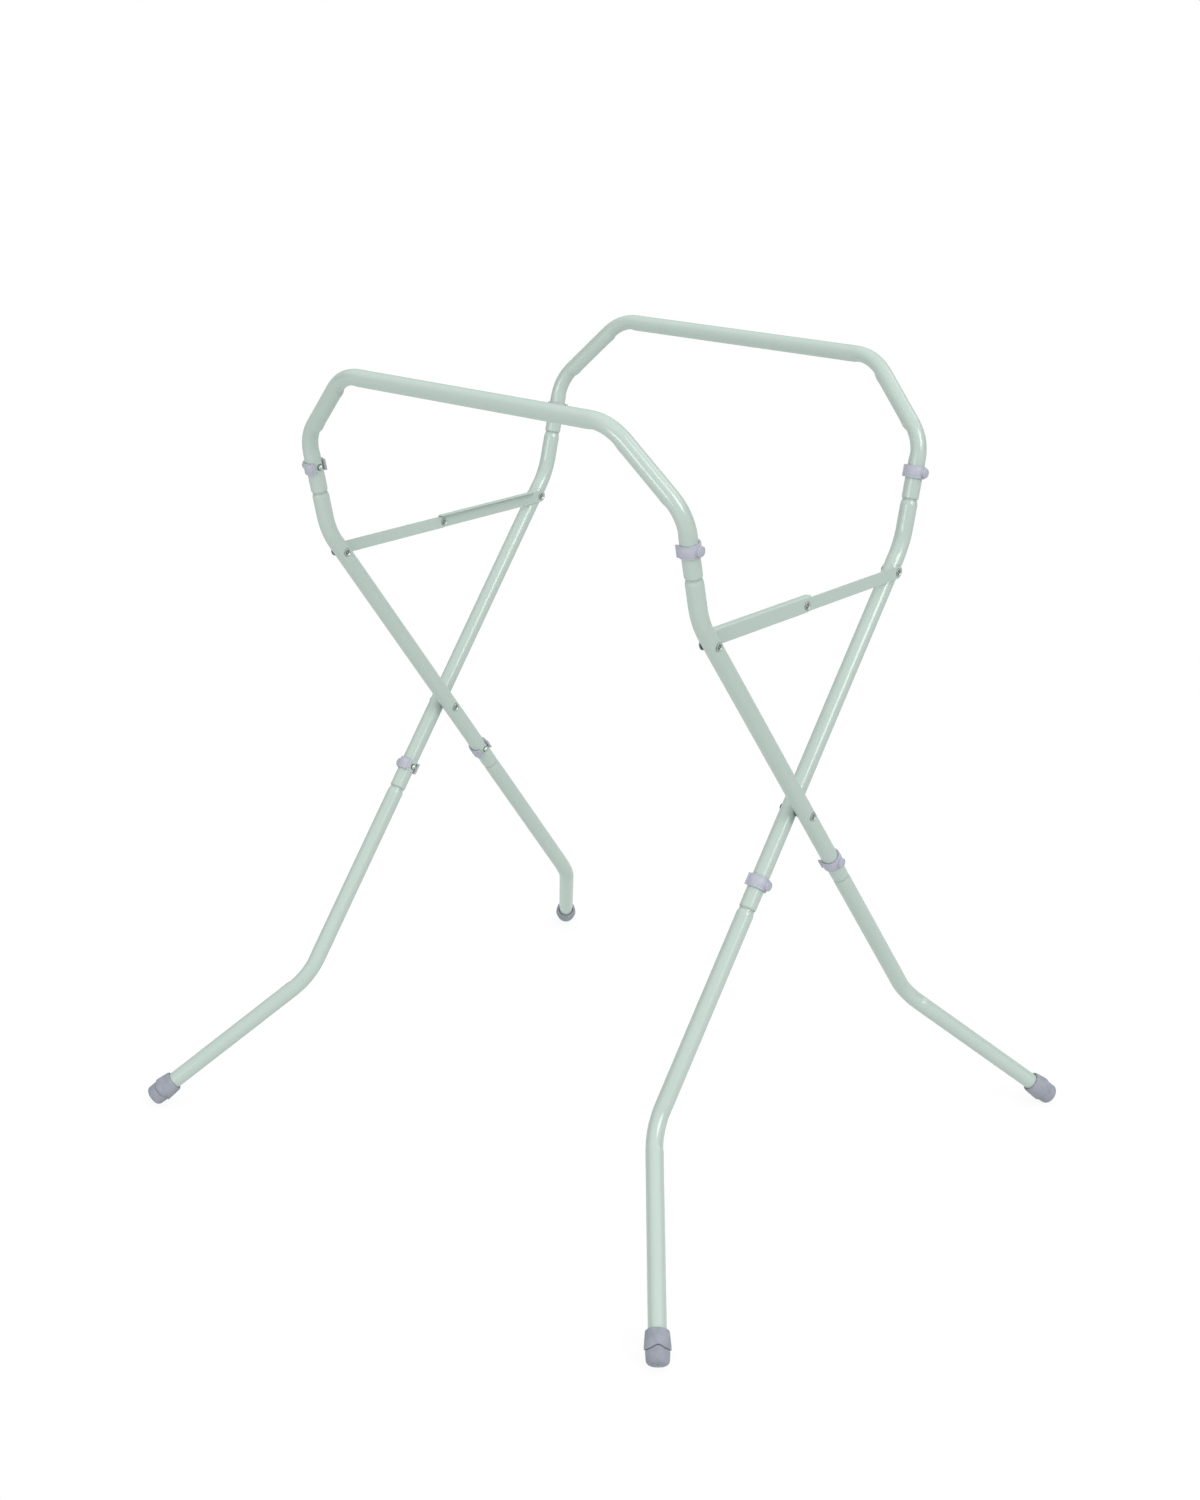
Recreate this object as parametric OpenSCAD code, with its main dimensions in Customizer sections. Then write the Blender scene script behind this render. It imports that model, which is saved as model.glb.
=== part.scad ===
// Folding stand for a baby bath.
// Two equal bent-tube frames cross as an X at the front and at the back. Frame A has its top bar
// on the -X side, frame B is the same frame turned half a turn about the vertical axis.
// X runs across the stand, Y along the top bars (front is -Y), Z is up and the floor is z = 0.

/* [Tube] */
// Outside diameter of every tube
tube_od = 20; // [19:0.5:21]
// Wall thickness of the tubes
tube_wall = 1.2; // [1:0.1:1.4]

/* [Side frames] */
// Distance from the front X to the back X, middle to middle
side_span = 558; // [500:2:620]
// Height of the crossing above the floor
cross_height = 472; // [450:1:490]
// Lean of the crossing tubes from vertical when the stand is open
leg_angle = 37.6; // [36:0.1:39]
// Along the tube, from the crossing up to the bend under the loop
upper_reach = 345; // [335:1:355]
// Along the tube, from the crossing down to the bend of the leg
lower_reach = 388; // [375:1:395]
// Angle of the leg's end below horizontal
foot_pitch = 38; // [36:0.5:41]
// Angle by which the leg's end turns outwards
foot_yaw = 40.6; // [30:0.1:50]
// Bend radius under the loop
elbow_r = 95; // [80:1:100]
// Bend radius of the leg
leg_bend_r = 90; // [70:1:100]

/* [Top loops] */
// Outward lean of the loop's plane
loop_tilt = 14; // [12:0.5:16]
// From the bend under the loop up to the corner of the loop, in the loop's plane
loop_corner_rise = 124; // [122:1:132]
// Height of the slanted corner, in the loop's plane
chamfer_rise = 89; // [80:1:100]
// Width of the slanted corner
chamfer_run = 84; // [75:1:95]
// Bend radius of the loop
loop_bend_r = 55; // [45:1:56]

/* [Tube joints] */
// From the bend under the loop up to the open end of the loop
loop_end_rise = 54; // [50:1:58]
// From the crossing down to the open end of the middle tube
middle_tube_end = 124; // [118:1:130]
// From an open tube end to the clip pin that locks the joint
pin_setback = 32; // [28:1:34]
// Depth of the reduced neck in its socket
neck_depth = 44; // [40:1:46]
// Radial clearance of the neck in its socket
neck_clear = 0.15; // [0.1:0.05:0.25]
// Length of the shoulder between neck and full diameter
shoulder_len = 6.5; // [4:0.5:8]
// Neck left showing between the tube end and the shoulder
neck_show = 0.8; // [0.4:0.1:1.5]
// Length of the turned-in edge of an open tube end
end_taper_len = 2.6; // [1.5:0.1:3.5]
// Depth of the turned-in edge of an open tube end
end_taper = 0.85; // [0.4:0.05:0.95]

/* [Spring clips] */
// Width of the clip band along the tube
clip_w = 14.5; // [12:0.5:16]
// Thickness of the clip band
clip_t = 2.4; // [2:0.1:3]
// Gap between the clip band and the tube
clip_clear = 0.15; // [0.05:0.05:0.3]
// Half of the angle that the band wraps, measured from its button
clip_wrap = 128; // [120:1:134]
// Length of the flared lips
lip_len = 3.6; // [3:0.1:4]
// Diameter of the button
button_d = 11.5; // [10:0.5:13]
// Height of the button above the band
button_h = 3.4; // [2.5:0.1:4]
// Plastic left between the pin's blind end and the button's face
button_skin = 1.2; // [0.8:0.1:2]
// Diameter of the clip pin
pin_d = 5.5; // [5:0.1:5.8]
// Radial clearance of the pin in the neck
pin_fit = 0.08; // [0.05:0.01:0.1]
// Diameter of the pin's holes in the outer tube
pin_window_d = 7.2; // [6.6:0.1:7.6]
// How far the round tip stands out of the tube
pin_tip = 2.3; // [1.5:0.1:3]

/* [Braces] */
// Along the tube, from the crossing up to the brace pivots
brace_reach = 309; // [300:1:312]
// Thickness of the links
link_t = 1.2; // [1:0.1:1.4]
// Width of the links
link_w = 15.5; // [14:0.5:17]
// Play between the links, and between a link and a tube
link_play = 0.3; // [0.2:0.05:0.4]
// Width of the channel link's flange
flange_w = 8; // [6:0.5:10]
// Outside radius of the bend between flange and web
flange_r = 2.2; // [1.8:0.1:3]
// How far the flange runs past the middle pivot
flange_over = 9; // [7:0.5:11]
// Distance from the end pivot to the start of the flange
flange_start = 14; // [12:0.5:20]
// Room between the flange and the edge of the flat link, closed by the stop
stop_gap = 0.3; // [0.2:0.05:0.5]

/* [Rivets] */
// Diameter of the rivet shanks
rivet_d = 6; // [5:0.1:6.4]
// Radial clearance of the rivets
rivet_fit = 0.06; // [0.03:0.01:0.1]
// Diameter of the rolled rivet end
roll_d = 8.6; // [8:0.1:9.4]
// Height of the rolled rivet end
roll_h = 1.1; // [0.8:0.1:1.4]
// Diameter of the hollow in the rolled end
hollow_d = 4.2; // [3.5:0.1:4.4]
// Depth of the hollow in the rolled end
hollow_depth = 6; // [4:0.5:9]
// Diameter of the domed rivet head
dome_d = 9.6; // [8.6:0.1:10]
// Height of the domed rivet head
dome_h = 2.6; // [2:0.1:3]
// Depth of the flat seat that a rivet head presses into a tube
seat_depth = 0.5; // [0.3:0.1:0.6]
// Room round a rivet head in its seat
seat_room = 0.2; // [0.1:0.05:0.4]
// Play under the head of a rivet that another piece turns on
head_play = 0.1; // [0.05:0.05:0.3]
// Diameter of the spacer washer at the crossing
spacer_d = 14; // [12:0.5:16]

/* [Feet] */
// Length of the rubber foot along the leg
foot_len = 38; // [35:1:44]
// Length of the foot below its step
foot_low_len = 16; // [14:0.5:18]
// Radius of the foot at its open rim
foot_rim_r = 13.5; // [13:0.1:14]
// Radius of the foot just above its step
foot_step_r = 14.5; // [14:0.1:15.5]
// Radius of the foot below its step
foot_low_r = 12.8; // [12.2:0.1:13.4]
// Radius of the rounded lower edge
foot_edge_r = 5; // [4:0.5:6]
// Radius of the rounded rim
foot_rim_round = 1.8; // [1:0.1:2.4]
// Rubber between the end of the tube and the tip
foot_sole = 7; // [5:0.5:9]
// Height of the bevel above and below the step
foot_bevel = 1; // [0.5:0.1:1.5]
// How much of the round edge is pressed flat on the floor
foot_flat = 0.4; // [0.3:0.05:0.6]

/* [Hidden] */
$fn = 96;
eps = 0.01;
// Tubes lap into their bends by this much, and draw down by this much in them
bend_lap = 0.5;
bend_thinning = 0.02;

paint = [0.76, 0.83, 0.80];
clip_grey = [0.73, 0.74, 0.79];
rubber_grey = [0.59, 0.60, 0.65];
steel = [0.78, 0.80, 0.80];
nylon = [0.90, 0.90, 0.88];

// Radii of the tube, its bore and its reduced neck
tube_r = tube_od / 2;
bore_r = tube_r - tube_wall;
neck_r = bore_r - neck_clear;
neck_bore_r = neck_r - tube_wall;

// The tubes of A and B pass each other with room for both links between them
link_room = 2 * link_t + 3 * link_play;
plane_gap = tube_od + link_room;
stop_drop = flange_r - link_t;

// Axes of the four side planes; A lies towards -Y of B at the front and at the back
y_front_a = -side_span / 2 - plane_gap / 2;
y_front_b = -side_span / 2 + plane_gap / 2;
y_back_a = side_span / 2 - plane_gap / 2;
y_back_b = side_span / 2 + plane_gap / 2;
function y_plane_a(side) = side < 0 ? y_front_a : y_back_a;

// Directions in frame A: up the crossing tube, up the loop, and out along the leg's end
up_dir = [-sin(leg_angle), 0, cos(leg_angle)];
loop_dir = [-sin(loop_tilt), 0, cos(loop_tilt)];
function leg_end_dir(side) =
    [cos(foot_pitch) * cos(foot_yaw), side * cos(foot_pitch) * sin(foot_yaw), -sin(foot_pitch)];

// Corners of frame A at one side, on the tube axes
function cross_point(side) = [0, y_plane_a(side), cross_height];
function on_tube(side, reach) = cross_point(side) + reach * up_dir;
function elbow(side) = on_tube(side, upper_reach);
function on_loop(side, rise) = elbow(side) + rise * loop_dir;
function loop_corner(side) = on_loop(side, loop_corner_rise);
function bar_corner(side) =
    on_loop(side, loop_corner_rise + chamfer_rise) - [0, side * chamfer_run, 0];
function leg_corner(side) = on_tube(side, -lower_reach);

// The tip lies at the height that brings the rounded edge of the foot down onto the floor
tip_height = foot_edge_r - foot_edge_r * sin(foot_pitch)
    + (foot_low_r - foot_edge_r) * cos(foot_pitch) - foot_flat;
leg_end_len = (leg_corner(-1).z - tip_height) / sin(foot_pitch);
function foot_tip(side) = leg_corner(side) + leg_end_len * leg_end_dir(side);

// Places of the clips and the brace pivots
upper_pin_rise = loop_end_rise + pin_setback;
lower_pin_reach = middle_tube_end - pin_setback;
brace_x = brace_reach * sin(leg_angle);
brace_z = cross_height + brace_reach * cos(leg_angle);

function unit(v) = v / norm(v);

// Puts a child's Z axis on direction d at point p, and its Y axis on n, which is square to d
module along(p, d, n) {
    z_axis = unit(d);
    y_axis = unit(n);
    x_axis = cross(y_axis, z_axis);
    multmatrix([
        [x_axis.x, y_axis.x, z_axis.x, p.x],
        [x_axis.y, y_axis.y, z_axis.y, p.y],
        [x_axis.z, y_axis.z, z_axis.z, p.z],
        [0, 0, 0, 1]
    ])
    children();
}

// A round body about direction d at point p, from its half outline of [radius, height] points
module turned(p, d, n, outline) {
    along(p, d, n) rotate_extrude() polygon(outline);
}

// Length that a bend takes up on each side of its corner
function bend_trim(u, v, r) = r * tan(acos(u * v) / 2);

// A bend at corner p, from direction u to direction v; the wall is drawn thinner in it
module tube_bend(p, u, v, r) {
    inward = unit(v - (v * u) * u);
    centre = p - u * bend_trim(u, v, r) + inward * r;
    normal = cross(-inward, u);
    multmatrix([
        [-inward.x, u.x, normal.x, centre.x],
        [-inward.y, u.y, normal.y, centre.y],
        [-inward.z, u.z, normal.z, centre.z],
        [0, 0, 0, 1]
    ])
    rotate_extrude(angle = acos(u * v)) translate([r, 0]) difference() {
        circle(tube_r - bend_thinning);
        circle(bore_r + bend_thinning);
    }
}

// Stations give a tube's end as [outer radius, bore radius, distance from the end point]
plain_end = [[tube_r, bore_r, 0]];
socket_end = [[tube_r - end_taper, bore_r, 0], [tube_r, bore_r, end_taper_len]];
neck_end = [
    [neck_r, neck_bore_r, -neck_depth],
    [neck_r, neck_bore_r, neck_show],
    [tube_r, bore_r, neck_show + shoulder_len]
];
run_end = [[tube_r, bore_r, -bend_lap]];

function from_far_end(stations, run) =
    [for (i = [len(stations) - 1:-1:0]) [stations[i][0], stations[i][1], run - stations[i][2]]];

function tube_outline(stations) = concat(
    [for (s = stations) [s[0], s[2]]],
    [for (i = [len(stations) - 1:-1:0]) [stations[i][1], stations[i][2]]]
);

// A tube through the given points, which lie in a plane square to n, with bends of radius r
module bent_tube(points, n, r, first_end, last_end) {
    last = len(points) - 1;
    dirs = [for (i = [0:last - 1]) unit(points[i + 1] - points[i])];
    trims = [for (i = [0:last]) i == 0 || i == last ? 0 : bend_trim(dirs[i - 1], dirs[i], r)];
    for (i = [0:last - 1]) {
        run = norm(points[i + 1] - points[i]) - trims[i] - trims[i + 1];
        turned(points[i] + dirs[i] * trims[i], dirs[i], n, tube_outline(concat(
            i == 0 ? first_end : run_end,
            from_far_end(i == last - 1 ? last_end : run_end, run)
        )));
    }
    for (i = [1:last - 1])
        tube_bend(points[i], dirs[i - 1], dirs[i], r);
}

// Bore along Y
module cross_bore(p, d) {
    translate([p.x, p.y - tube_od, p.z]) rotate([-90, 0, 0]) cylinder(d = d, h = 2 * tube_od);
}

// Flat seat for a rivet head, on the side of the tube that looks away from the links
module rivet_seat(p) {
    translate([p.x, p.y - tube_od, p.z]) rotate([-90, 0, 0])
        cylinder(d = dome_d + 2 * seat_room, h = tube_od - tube_r + seat_depth);
}

module top_loop() {
    corners = [
        on_loop(-1, loop_end_rise), loop_corner(-1), bar_corner(-1),
        bar_corner(1), loop_corner(1), on_loop(1, loop_end_rise)
    ];
    color(paint) difference() {
        bent_tube(corners, cross([0, 1, 0], loop_dir), loop_bend_r, socket_end, socket_end);
        for (side = [-1, 1]) cross_bore(on_loop(side, upper_pin_rise), pin_window_d);
    }
}

module middle_tube(side) {
    corners = [on_loop(side, loop_end_rise), elbow(side), on_tube(side, -middle_tube_end)];
    pivots = [on_tube(side, brace_reach), cross_point(side)];
    color(paint) difference() {
        bent_tube(corners, [0, 1, 0], elbow_r, neck_end, socket_end);
        cross_bore(on_loop(side, upper_pin_rise), pin_d + 2 * pin_fit);
        cross_bore(on_tube(side, -lower_pin_reach), pin_window_d);
        for (p = pivots) {
            cross_bore(p, rivet_d + 2 * rivet_fit);
            rivet_seat(p);
        }
    }
}

module lower_leg(side) {
    end_dir = leg_end_dir(side);
    corners = [
        on_tube(side, -middle_tube_end), leg_corner(side), foot_tip(side) - foot_sole * end_dir
    ];
    color(paint) difference() {
        bent_tube(corners, cross(up_dir, end_dir), leg_bend_r, neck_end, plain_end);
        cross_bore(on_tube(side, -lower_pin_reach), pin_d + 2 * pin_fit);
    }
}

// Half outline of the foot: radius, and height above the tip along the leg
function foot_outline() = concat(
    [[0, foot_sole], [0, 0], [foot_low_r - foot_edge_r, 0]],
    [for (a = [-75:15:0])
        [foot_low_r - foot_edge_r + foot_edge_r * cos(a), foot_edge_r + foot_edge_r * sin(a)]],
    [[foot_low_r, foot_low_len - foot_bevel]],
    [[foot_step_r - foot_bevel / 2, foot_low_len], [foot_step_r, foot_low_len + foot_bevel]],
    [for (a = [0:22.5:90])
        [foot_rim_r - foot_rim_round + foot_rim_round * cos(a),
            foot_len - foot_rim_round + foot_rim_round * sin(a)]],
    [[tube_r, foot_len], [tube_r, foot_sole]]
);

module foot(side) {
    floor_cut = 4 * foot_step_r;
    color(rubber_grey) difference() {
        turned(foot_tip(side), -leg_end_dir(side), cross(up_dir, leg_end_dir(side)), foot_outline());
        translate([foot_tip(side).x - floor_cut / 2, foot_tip(side).y - floor_cut / 2, -floor_cut])
            cube(floor_cut);
    }
}

// The clip lies round a tube on Z, its button looks towards +Y
module clip_band() {
    inner = tube_r + clip_clear;
    outer = inner + clip_t;
    open_half = 180 - clip_wrap;
    reach = 2 * outer;
    difference() {
        union() {
            linear_extrude(clip_w, center = true) {
                difference() {
                    circle(outer);
                    circle(inner);
                    polygon([
                        [0, 0],
                        [-reach * tan(open_half), -reach],
                        [reach * tan(open_half), -reach]
                    ]);
                }
                for (s = [-1, 1])
                    rotate(s * open_half) translate([(s - 2) * clip_t / 4, -inner - lip_len])
                        square([clip_t, lip_len]);
            }
            translate([0, inner + clip_t / 2, 0]) rotate([-90, 0, 0])
                cylinder(d = button_d, h = clip_t / 2 + button_h);
        }
        rotate([-90, 0, 0]) cylinder(d = pin_d, h = pin_root());
    }
}

// Height of the pin's blind end inside the button
function pin_root() = tube_r + clip_clear + clip_t + button_h - button_skin;

// Steel pin through both tubes, with a round tip on the far side
module clip_pin() {
    tip_r = pin_d / 2;
    shoulder = -tube_r - pin_tip + tip_r;
    color(steel) rotate([-90, 0, 0]) rotate_extrude() polygon(concat(
        [for (a = [-90:15:0]) [max(0, tip_r * cos(a)), shoulder + tip_r * sin(a)]],
        [[tip_r, pin_root()], [0, pin_root()]]
    ));
}

// Places a clip or its pin on frame A, with the button on the outside of the stand
module at_upper_joint(side) {
    along(on_loop(side, upper_pin_rise), loop_dir, [0, 1, 0]) rotate(side < 0 ? 180 : 0) children();
}

module at_lower_joint(side) {
    along(on_tube(side, -lower_pin_reach), up_dir, [0, 1, 0]) rotate(side < 0 ? 180 : 0) children();
}

module upper_clip(side) {
    color(clip_grey) at_upper_joint(side) clip_band();
}

module lower_clip(side) {
    color(clip_grey) at_lower_joint(side) clip_band();
}

module upper_pin(side) {
    at_upper_joint(side) clip_pin();
}

module lower_pin(side) {
    at_lower_joint(side) clip_pin();
}

// Turns a piece of frame A into the same piece of frame B
module frame_b() {
    rotate(180) children();
}

// Rivet parts lie on Y lines through [x, z]; the rolled end looks to -Y and the dome to +Y
module rivet_shank(x, z, y_from, y_to) {
    translate([x, y_from, z]) rotate([-90, 0, 0]) cylinder(d = rivet_d, h = y_to - y_from);
}

module rolled_end(x, z, y) {
    edge = (roll_d - roll_h) / 2;
    translate([x, y, z]) rotate([90, 0, 0]) rotate_extrude() {
        square([edge, roll_h]);
        translate([edge, roll_h / 2]) circle(roll_h / 2);
    }
}

module rolled_hollow(x, z, y, depth) {
    translate([x, y - roll_h - eps, z]) rotate([-90, 0, 0])
        cylinder(d = hollow_d, h = depth + roll_h + eps);
}

module dome_head(x, z, y) {
    ball_r = (pow(dome_d / 2, 2) + pow(dome_h, 2)) / (2 * dome_h);
    translate([x, y, z]) rotate([-90, 0, 0]) rotate_extrude() intersection() {
        translate([0, dome_h - ball_r]) circle(ball_r);
        square([dome_d, dome_h]);
    }
}

module full_rivet(x, z, y_from, y_to) {
    color(steel) difference() {
        union() {
            rolled_end(x, z, y_from);
            rivet_shank(x, z, y_from, y_to);
            dome_head(x, z, y_to);
        }
        rolled_hollow(x, z, y_from, min(hollow_depth, (y_to - y_from) / 2));
    }
}

// Y of the two link layers; layer 0 is next to the tube of A, layer 1 next to the tube of B
function layer_y(side, layer) =
    y_plane_a(side) + tube_r + link_play + layer * (link_t + link_play);
seat_a = -tube_r + seat_depth;
seat_b = plane_gap + tube_r - seat_depth;

module cross_rivet(side) {
    full_rivet(
        0, cross_height,
        y_plane_a(side) + seat_a,
        y_plane_a(side) + seat_b + head_play
    );
}

// Washer that rests on A's tube and keeps B's tube clear of it
module cross_spacer(side) {
    color(nylon) translate([0, y_plane_a(side) + tube_r, cross_height]) rotate([-90, 0, 0])
        difference() {
            cylinder(d = spacer_d, h = link_room - head_play);
            translate([0, 0, -eps]) cylinder(d = rivet_d + 2 * rivet_fit, h = link_room);
        }
}

// Outline of a link in its own plane: pivots at x = 0 and x = brace_x
module link_outline() {
    difference() {
        union() {
            translate([0, -link_w / 2]) square([brace_x, link_w]);
            for (x = [0, brace_x]) translate([x, 0]) circle(link_w / 2);
        }
        for (x = [0, brace_x]) translate([x, 0]) circle(rivet_d / 2 + rivet_fit);
    }
}

module flat_link() {
    linear_extrude(link_t) link_outline();
}

// The channel link: web like the flat link, with a flange along its upper edge.
// The flange starts beside the end pivot and runs past the middle pivot, over the flat link.
module channel_link() {
    web_top = link_w / 2 + stop_gap + stop_drop;
    bend_z = web_top + link_t - flange_r;
    flange_end = brace_x + flange_over;
    corner_r = flange_w - flange_r;
    difference() {
        union() {
            linear_extrude(link_t) link_outline();
            linear_extrude(link_t) translate([flange_start, 0])
                square([flange_end - corner_r - flange_start, bend_z]);
        }
        translate([0, 0, -eps]) linear_extrude(link_t + 2 * eps)
            for (x = [0, brace_x]) translate([x, 0]) circle(rivet_d / 2 + rivet_fit);
    }
    translate([flange_start, bend_z, flange_r]) rotate([90, 0, 90])
        linear_extrude(flange_end - corner_r - flange_start) difference() {
            circle(flange_r);
            circle(flange_r - link_t);
            translate([-2 * flange_r, -flange_r]) square([2 * flange_r, 2 * flange_r]);
            translate([-flange_r, 0]) square([2 * flange_r, 2 * flange_r]);
        }
    translate([0, web_top + link_t, 0]) rotate([90, 0, 0]) linear_extrude(link_t) {
        translate([flange_start, flange_r])
            square([flange_end - corner_r - flange_start, flange_w - flange_r]);
        translate([flange_end - corner_r, flange_r]) intersection() {
            circle(corner_r);
            square(corner_r);
        }
    }
}

// Stands a link up in the front or back brace; the link runs from its end pivot to the middle
module in_brace(side, layer, from_a) {
    dir = from_a ? 1 : -1;
    translate([-dir * brace_x, layer_y(side, layer) + (from_a ? 0 : link_t), brace_z])
        multmatrix([[dir, 0, 0, 0], [0, 0, dir, 0], [0, 1, 0, 0], [0, 0, 0, 1]])
            children();
}

module brace_channel(side) {
    color(paint) in_brace(side, side < 0 ? 0 : 1, side < 0) channel_link();
}

module brace_flat(side) {
    color(paint) in_brace(side, side < 0 ? 1 : 0, side > 0) flat_link();
}

module brace_mid_rivet(side) {
    full_rivet(
        0, brace_z,
        layer_y(side, 0) - head_play,
        layer_y(side, 1) + link_t + head_play
    );
}

module brace_end_rivet(side) {
    if (side < 0)
        full_rivet(-brace_x, brace_z, y_front_a + seat_a, layer_y(-1, 0) + link_t + head_play);
    else
        full_rivet(brace_x, brace_z, layer_y(1, 1) - head_play, y_back_a + seat_b);
}

// The far pivot of each brace is parted between link and tube: this half stays on the flat link
module brace_far_rivet_head(side) {
    color(steel)
        if (side < 0)
            difference() {
                union() {
                    rolled_end(brace_x, brace_z, layer_y(-1, 1));
                    rivet_shank(brace_x, brace_z, layer_y(-1, 1), layer_y(-1, 1) + link_t);
                }
                rolled_hollow(brace_x, brace_z, layer_y(-1, 1), link_t / 2);
            }
        else {
            rivet_shank(-brace_x, brace_z, layer_y(1, 0), layer_y(1, 0) + link_t);
            dome_head(-brace_x, brace_z, layer_y(1, 0) + link_t);
        }
}

// This half stays in the tube
module brace_far_rivet_tail(side) {
    color(steel)
        if (side < 0) {
            rivet_shank(brace_x, brace_z, y_front_b - tube_r, y_front_a + seat_b);
            dome_head(brace_x, brace_z, y_front_a + seat_b);
        }
        else
            difference() {
                union() {
                    rolled_end(-brace_x, brace_z, y_back_a + seat_a);
                    rivet_shank(-brace_x, brace_z, y_back_a + seat_a, y_back_a + tube_r);
                }
                rolled_hollow(-brace_x, brace_z, y_back_a + seat_a, hollow_depth);
            }
}

top_loop();  // top_loop_a
frame_b() top_loop();  // top_loop_b
middle_tube(-1);  // middle_tube_a_front
middle_tube(1);  // middle_tube_a_back
frame_b() middle_tube(1);  // middle_tube_b_front
frame_b() middle_tube(-1);  // middle_tube_b_back
lower_leg(-1);  // lower_leg_a_front
lower_leg(1);  // lower_leg_a_back
frame_b() lower_leg(1);  // lower_leg_b_front
frame_b() lower_leg(-1);  // lower_leg_b_back
foot(-1);  // foot_a_front
foot(1);  // foot_a_back
frame_b() foot(1);  // foot_b_front
frame_b() foot(-1);  // foot_b_back
upper_clip(-1);  // upper_clip_a_front
upper_clip(1);  // upper_clip_a_back
frame_b() upper_clip(1);  // upper_clip_b_front
frame_b() upper_clip(-1);  // upper_clip_b_back
lower_clip(-1);  // lower_clip_a_front
lower_clip(1);  // lower_clip_a_back
frame_b() lower_clip(1);  // lower_clip_b_front
frame_b() lower_clip(-1);  // lower_clip_b_back
upper_pin(-1);  // upper_pin_a_front
upper_pin(1);  // upper_pin_a_back
frame_b() upper_pin(1);  // upper_pin_b_front
frame_b() upper_pin(-1);  // upper_pin_b_back
lower_pin(-1);  // lower_pin_a_front
lower_pin(1);  // lower_pin_a_back
frame_b() lower_pin(1);  // lower_pin_b_front
frame_b() lower_pin(-1);  // lower_pin_b_back
cross_rivet(-1);  // cross_rivet_front
cross_rivet(1);  // cross_rivet_back
cross_spacer(-1);  // cross_spacer_front
cross_spacer(1);  // cross_spacer_back
brace_channel(-1);  // brace_channel_front
brace_channel(1);  // brace_channel_back
brace_flat(-1);  // brace_flat_front
brace_flat(1);  // brace_flat_back
brace_mid_rivet(-1);  // brace_mid_rivet_front
brace_mid_rivet(1);  // brace_mid_rivet_back
brace_end_rivet(-1);  // brace_end_rivet_front
brace_end_rivet(1);  // brace_end_rivet_back
brace_far_rivet_head(-1);  // brace_far_rivet_head_front
brace_far_rivet_head(1);  // brace_far_rivet_head_back
brace_far_rivet_tail(-1);  // brace_far_rivet_tail_front
brace_far_rivet_tail(1);  // brace_far_rivet_tail_back
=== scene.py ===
# Folding baby bath stand: satin painted tubes and links, spring clips, rubber feet and rivets
import math
import bmesh
import bpy
import numpy as np
from mathutils import Matrix, Vector


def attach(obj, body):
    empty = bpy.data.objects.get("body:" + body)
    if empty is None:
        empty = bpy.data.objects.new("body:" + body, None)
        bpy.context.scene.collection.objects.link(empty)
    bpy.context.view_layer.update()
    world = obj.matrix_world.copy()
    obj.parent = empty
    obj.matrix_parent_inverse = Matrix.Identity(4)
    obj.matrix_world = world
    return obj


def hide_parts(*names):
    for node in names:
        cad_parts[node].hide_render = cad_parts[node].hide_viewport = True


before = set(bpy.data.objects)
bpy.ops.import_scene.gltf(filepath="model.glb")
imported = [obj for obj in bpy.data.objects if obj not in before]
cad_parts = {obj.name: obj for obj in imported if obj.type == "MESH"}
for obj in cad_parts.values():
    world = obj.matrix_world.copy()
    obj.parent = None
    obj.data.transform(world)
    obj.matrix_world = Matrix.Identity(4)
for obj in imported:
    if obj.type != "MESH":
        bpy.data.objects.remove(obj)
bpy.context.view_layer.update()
print("frame loaded")

mm = 0.001  # all sizes below are in millimetres, and a mesh is scaled as it is made
creaseAngle = 55  # degrees between two faces, from which the edge between them is sharp
poleGap = 2e-6  # metres, points nearer than this become one

# places shared by all the pieces, with angles in degrees; a reach runs along a tube from the crossing
stand = {
    "sideSpan": 558, "planeGap": 23.3, "crossHeight": 472, "legAngle": 37.6,
    "upperReach": 345, "lowerReach": 388, "footPitch": 38, "footYaw": 40.6,
    "loopTilt": 14, "loopCornerRise": 124, "chamferRise": 89, "chamferRun": 84,
    "loopEndRise": 54, "middleTubeEnd": 124, "pinSetback": 32, "braceReach": 309,
}
frontPlane = -stand["sideSpan"] / 2 - stand["planeGap"] / 2  # side plane of frame A at the front
backPlane = frontPlane + stand["sideSpan"]
planes = {"front": frontPlane, "back": backPlane}


def sinDeg(a):
    return math.sin(math.radians(a))


def cosDeg(a):
    return math.cos(math.radians(a))


upDir = np.array([-sinDeg(stand["legAngle"]), 0, cosDeg(stand["legAngle"])])
loopDir = np.array([-sinDeg(stand["loopTilt"]), 0, cosDeg(stand["loopTilt"])])
legEndDir = np.array([
    cosDeg(stand["footPitch"]) * cosDeg(stand["footYaw"]),
    -cosDeg(stand["footPitch"]) * sinDeg(stand["footYaw"]),
    -sinDeg(stand["footPitch"]),
])
crossPoint = np.array([0, frontPlane, stand["crossHeight"]])
elbowPoint = crossPoint + stand["upperReach"] * upDir


def onLoop(rise, shift=0):
    # a place on the top loop of frame A, so far above the elbow and so far to the back
    return elbowPoint + rise * loopDir + np.array([0, shift, 0])


def onTube(reach):
    # a place on the straight front tubes of frame A, so far above the crossing
    return crossPoint + reach * upDir


# every shape is drawn as the front one of frame A, and these take it to its place
def asDrawn(points):
    return points


def toBack(points):
    # from the front plane to the back plane
    return points + np.array([0, stand["sideSpan"], 0])


def flipSide(points):
    # the mirror image, from the front plane to the back plane
    return np.array([0, frontPlane + backPlane, 0]) + points * np.array([1, -1, 1])


def turnHalf(points):
    # half a turn about the vertical, which takes frame A to frame B
    return points * np.array([-1, -1, 1])


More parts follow.
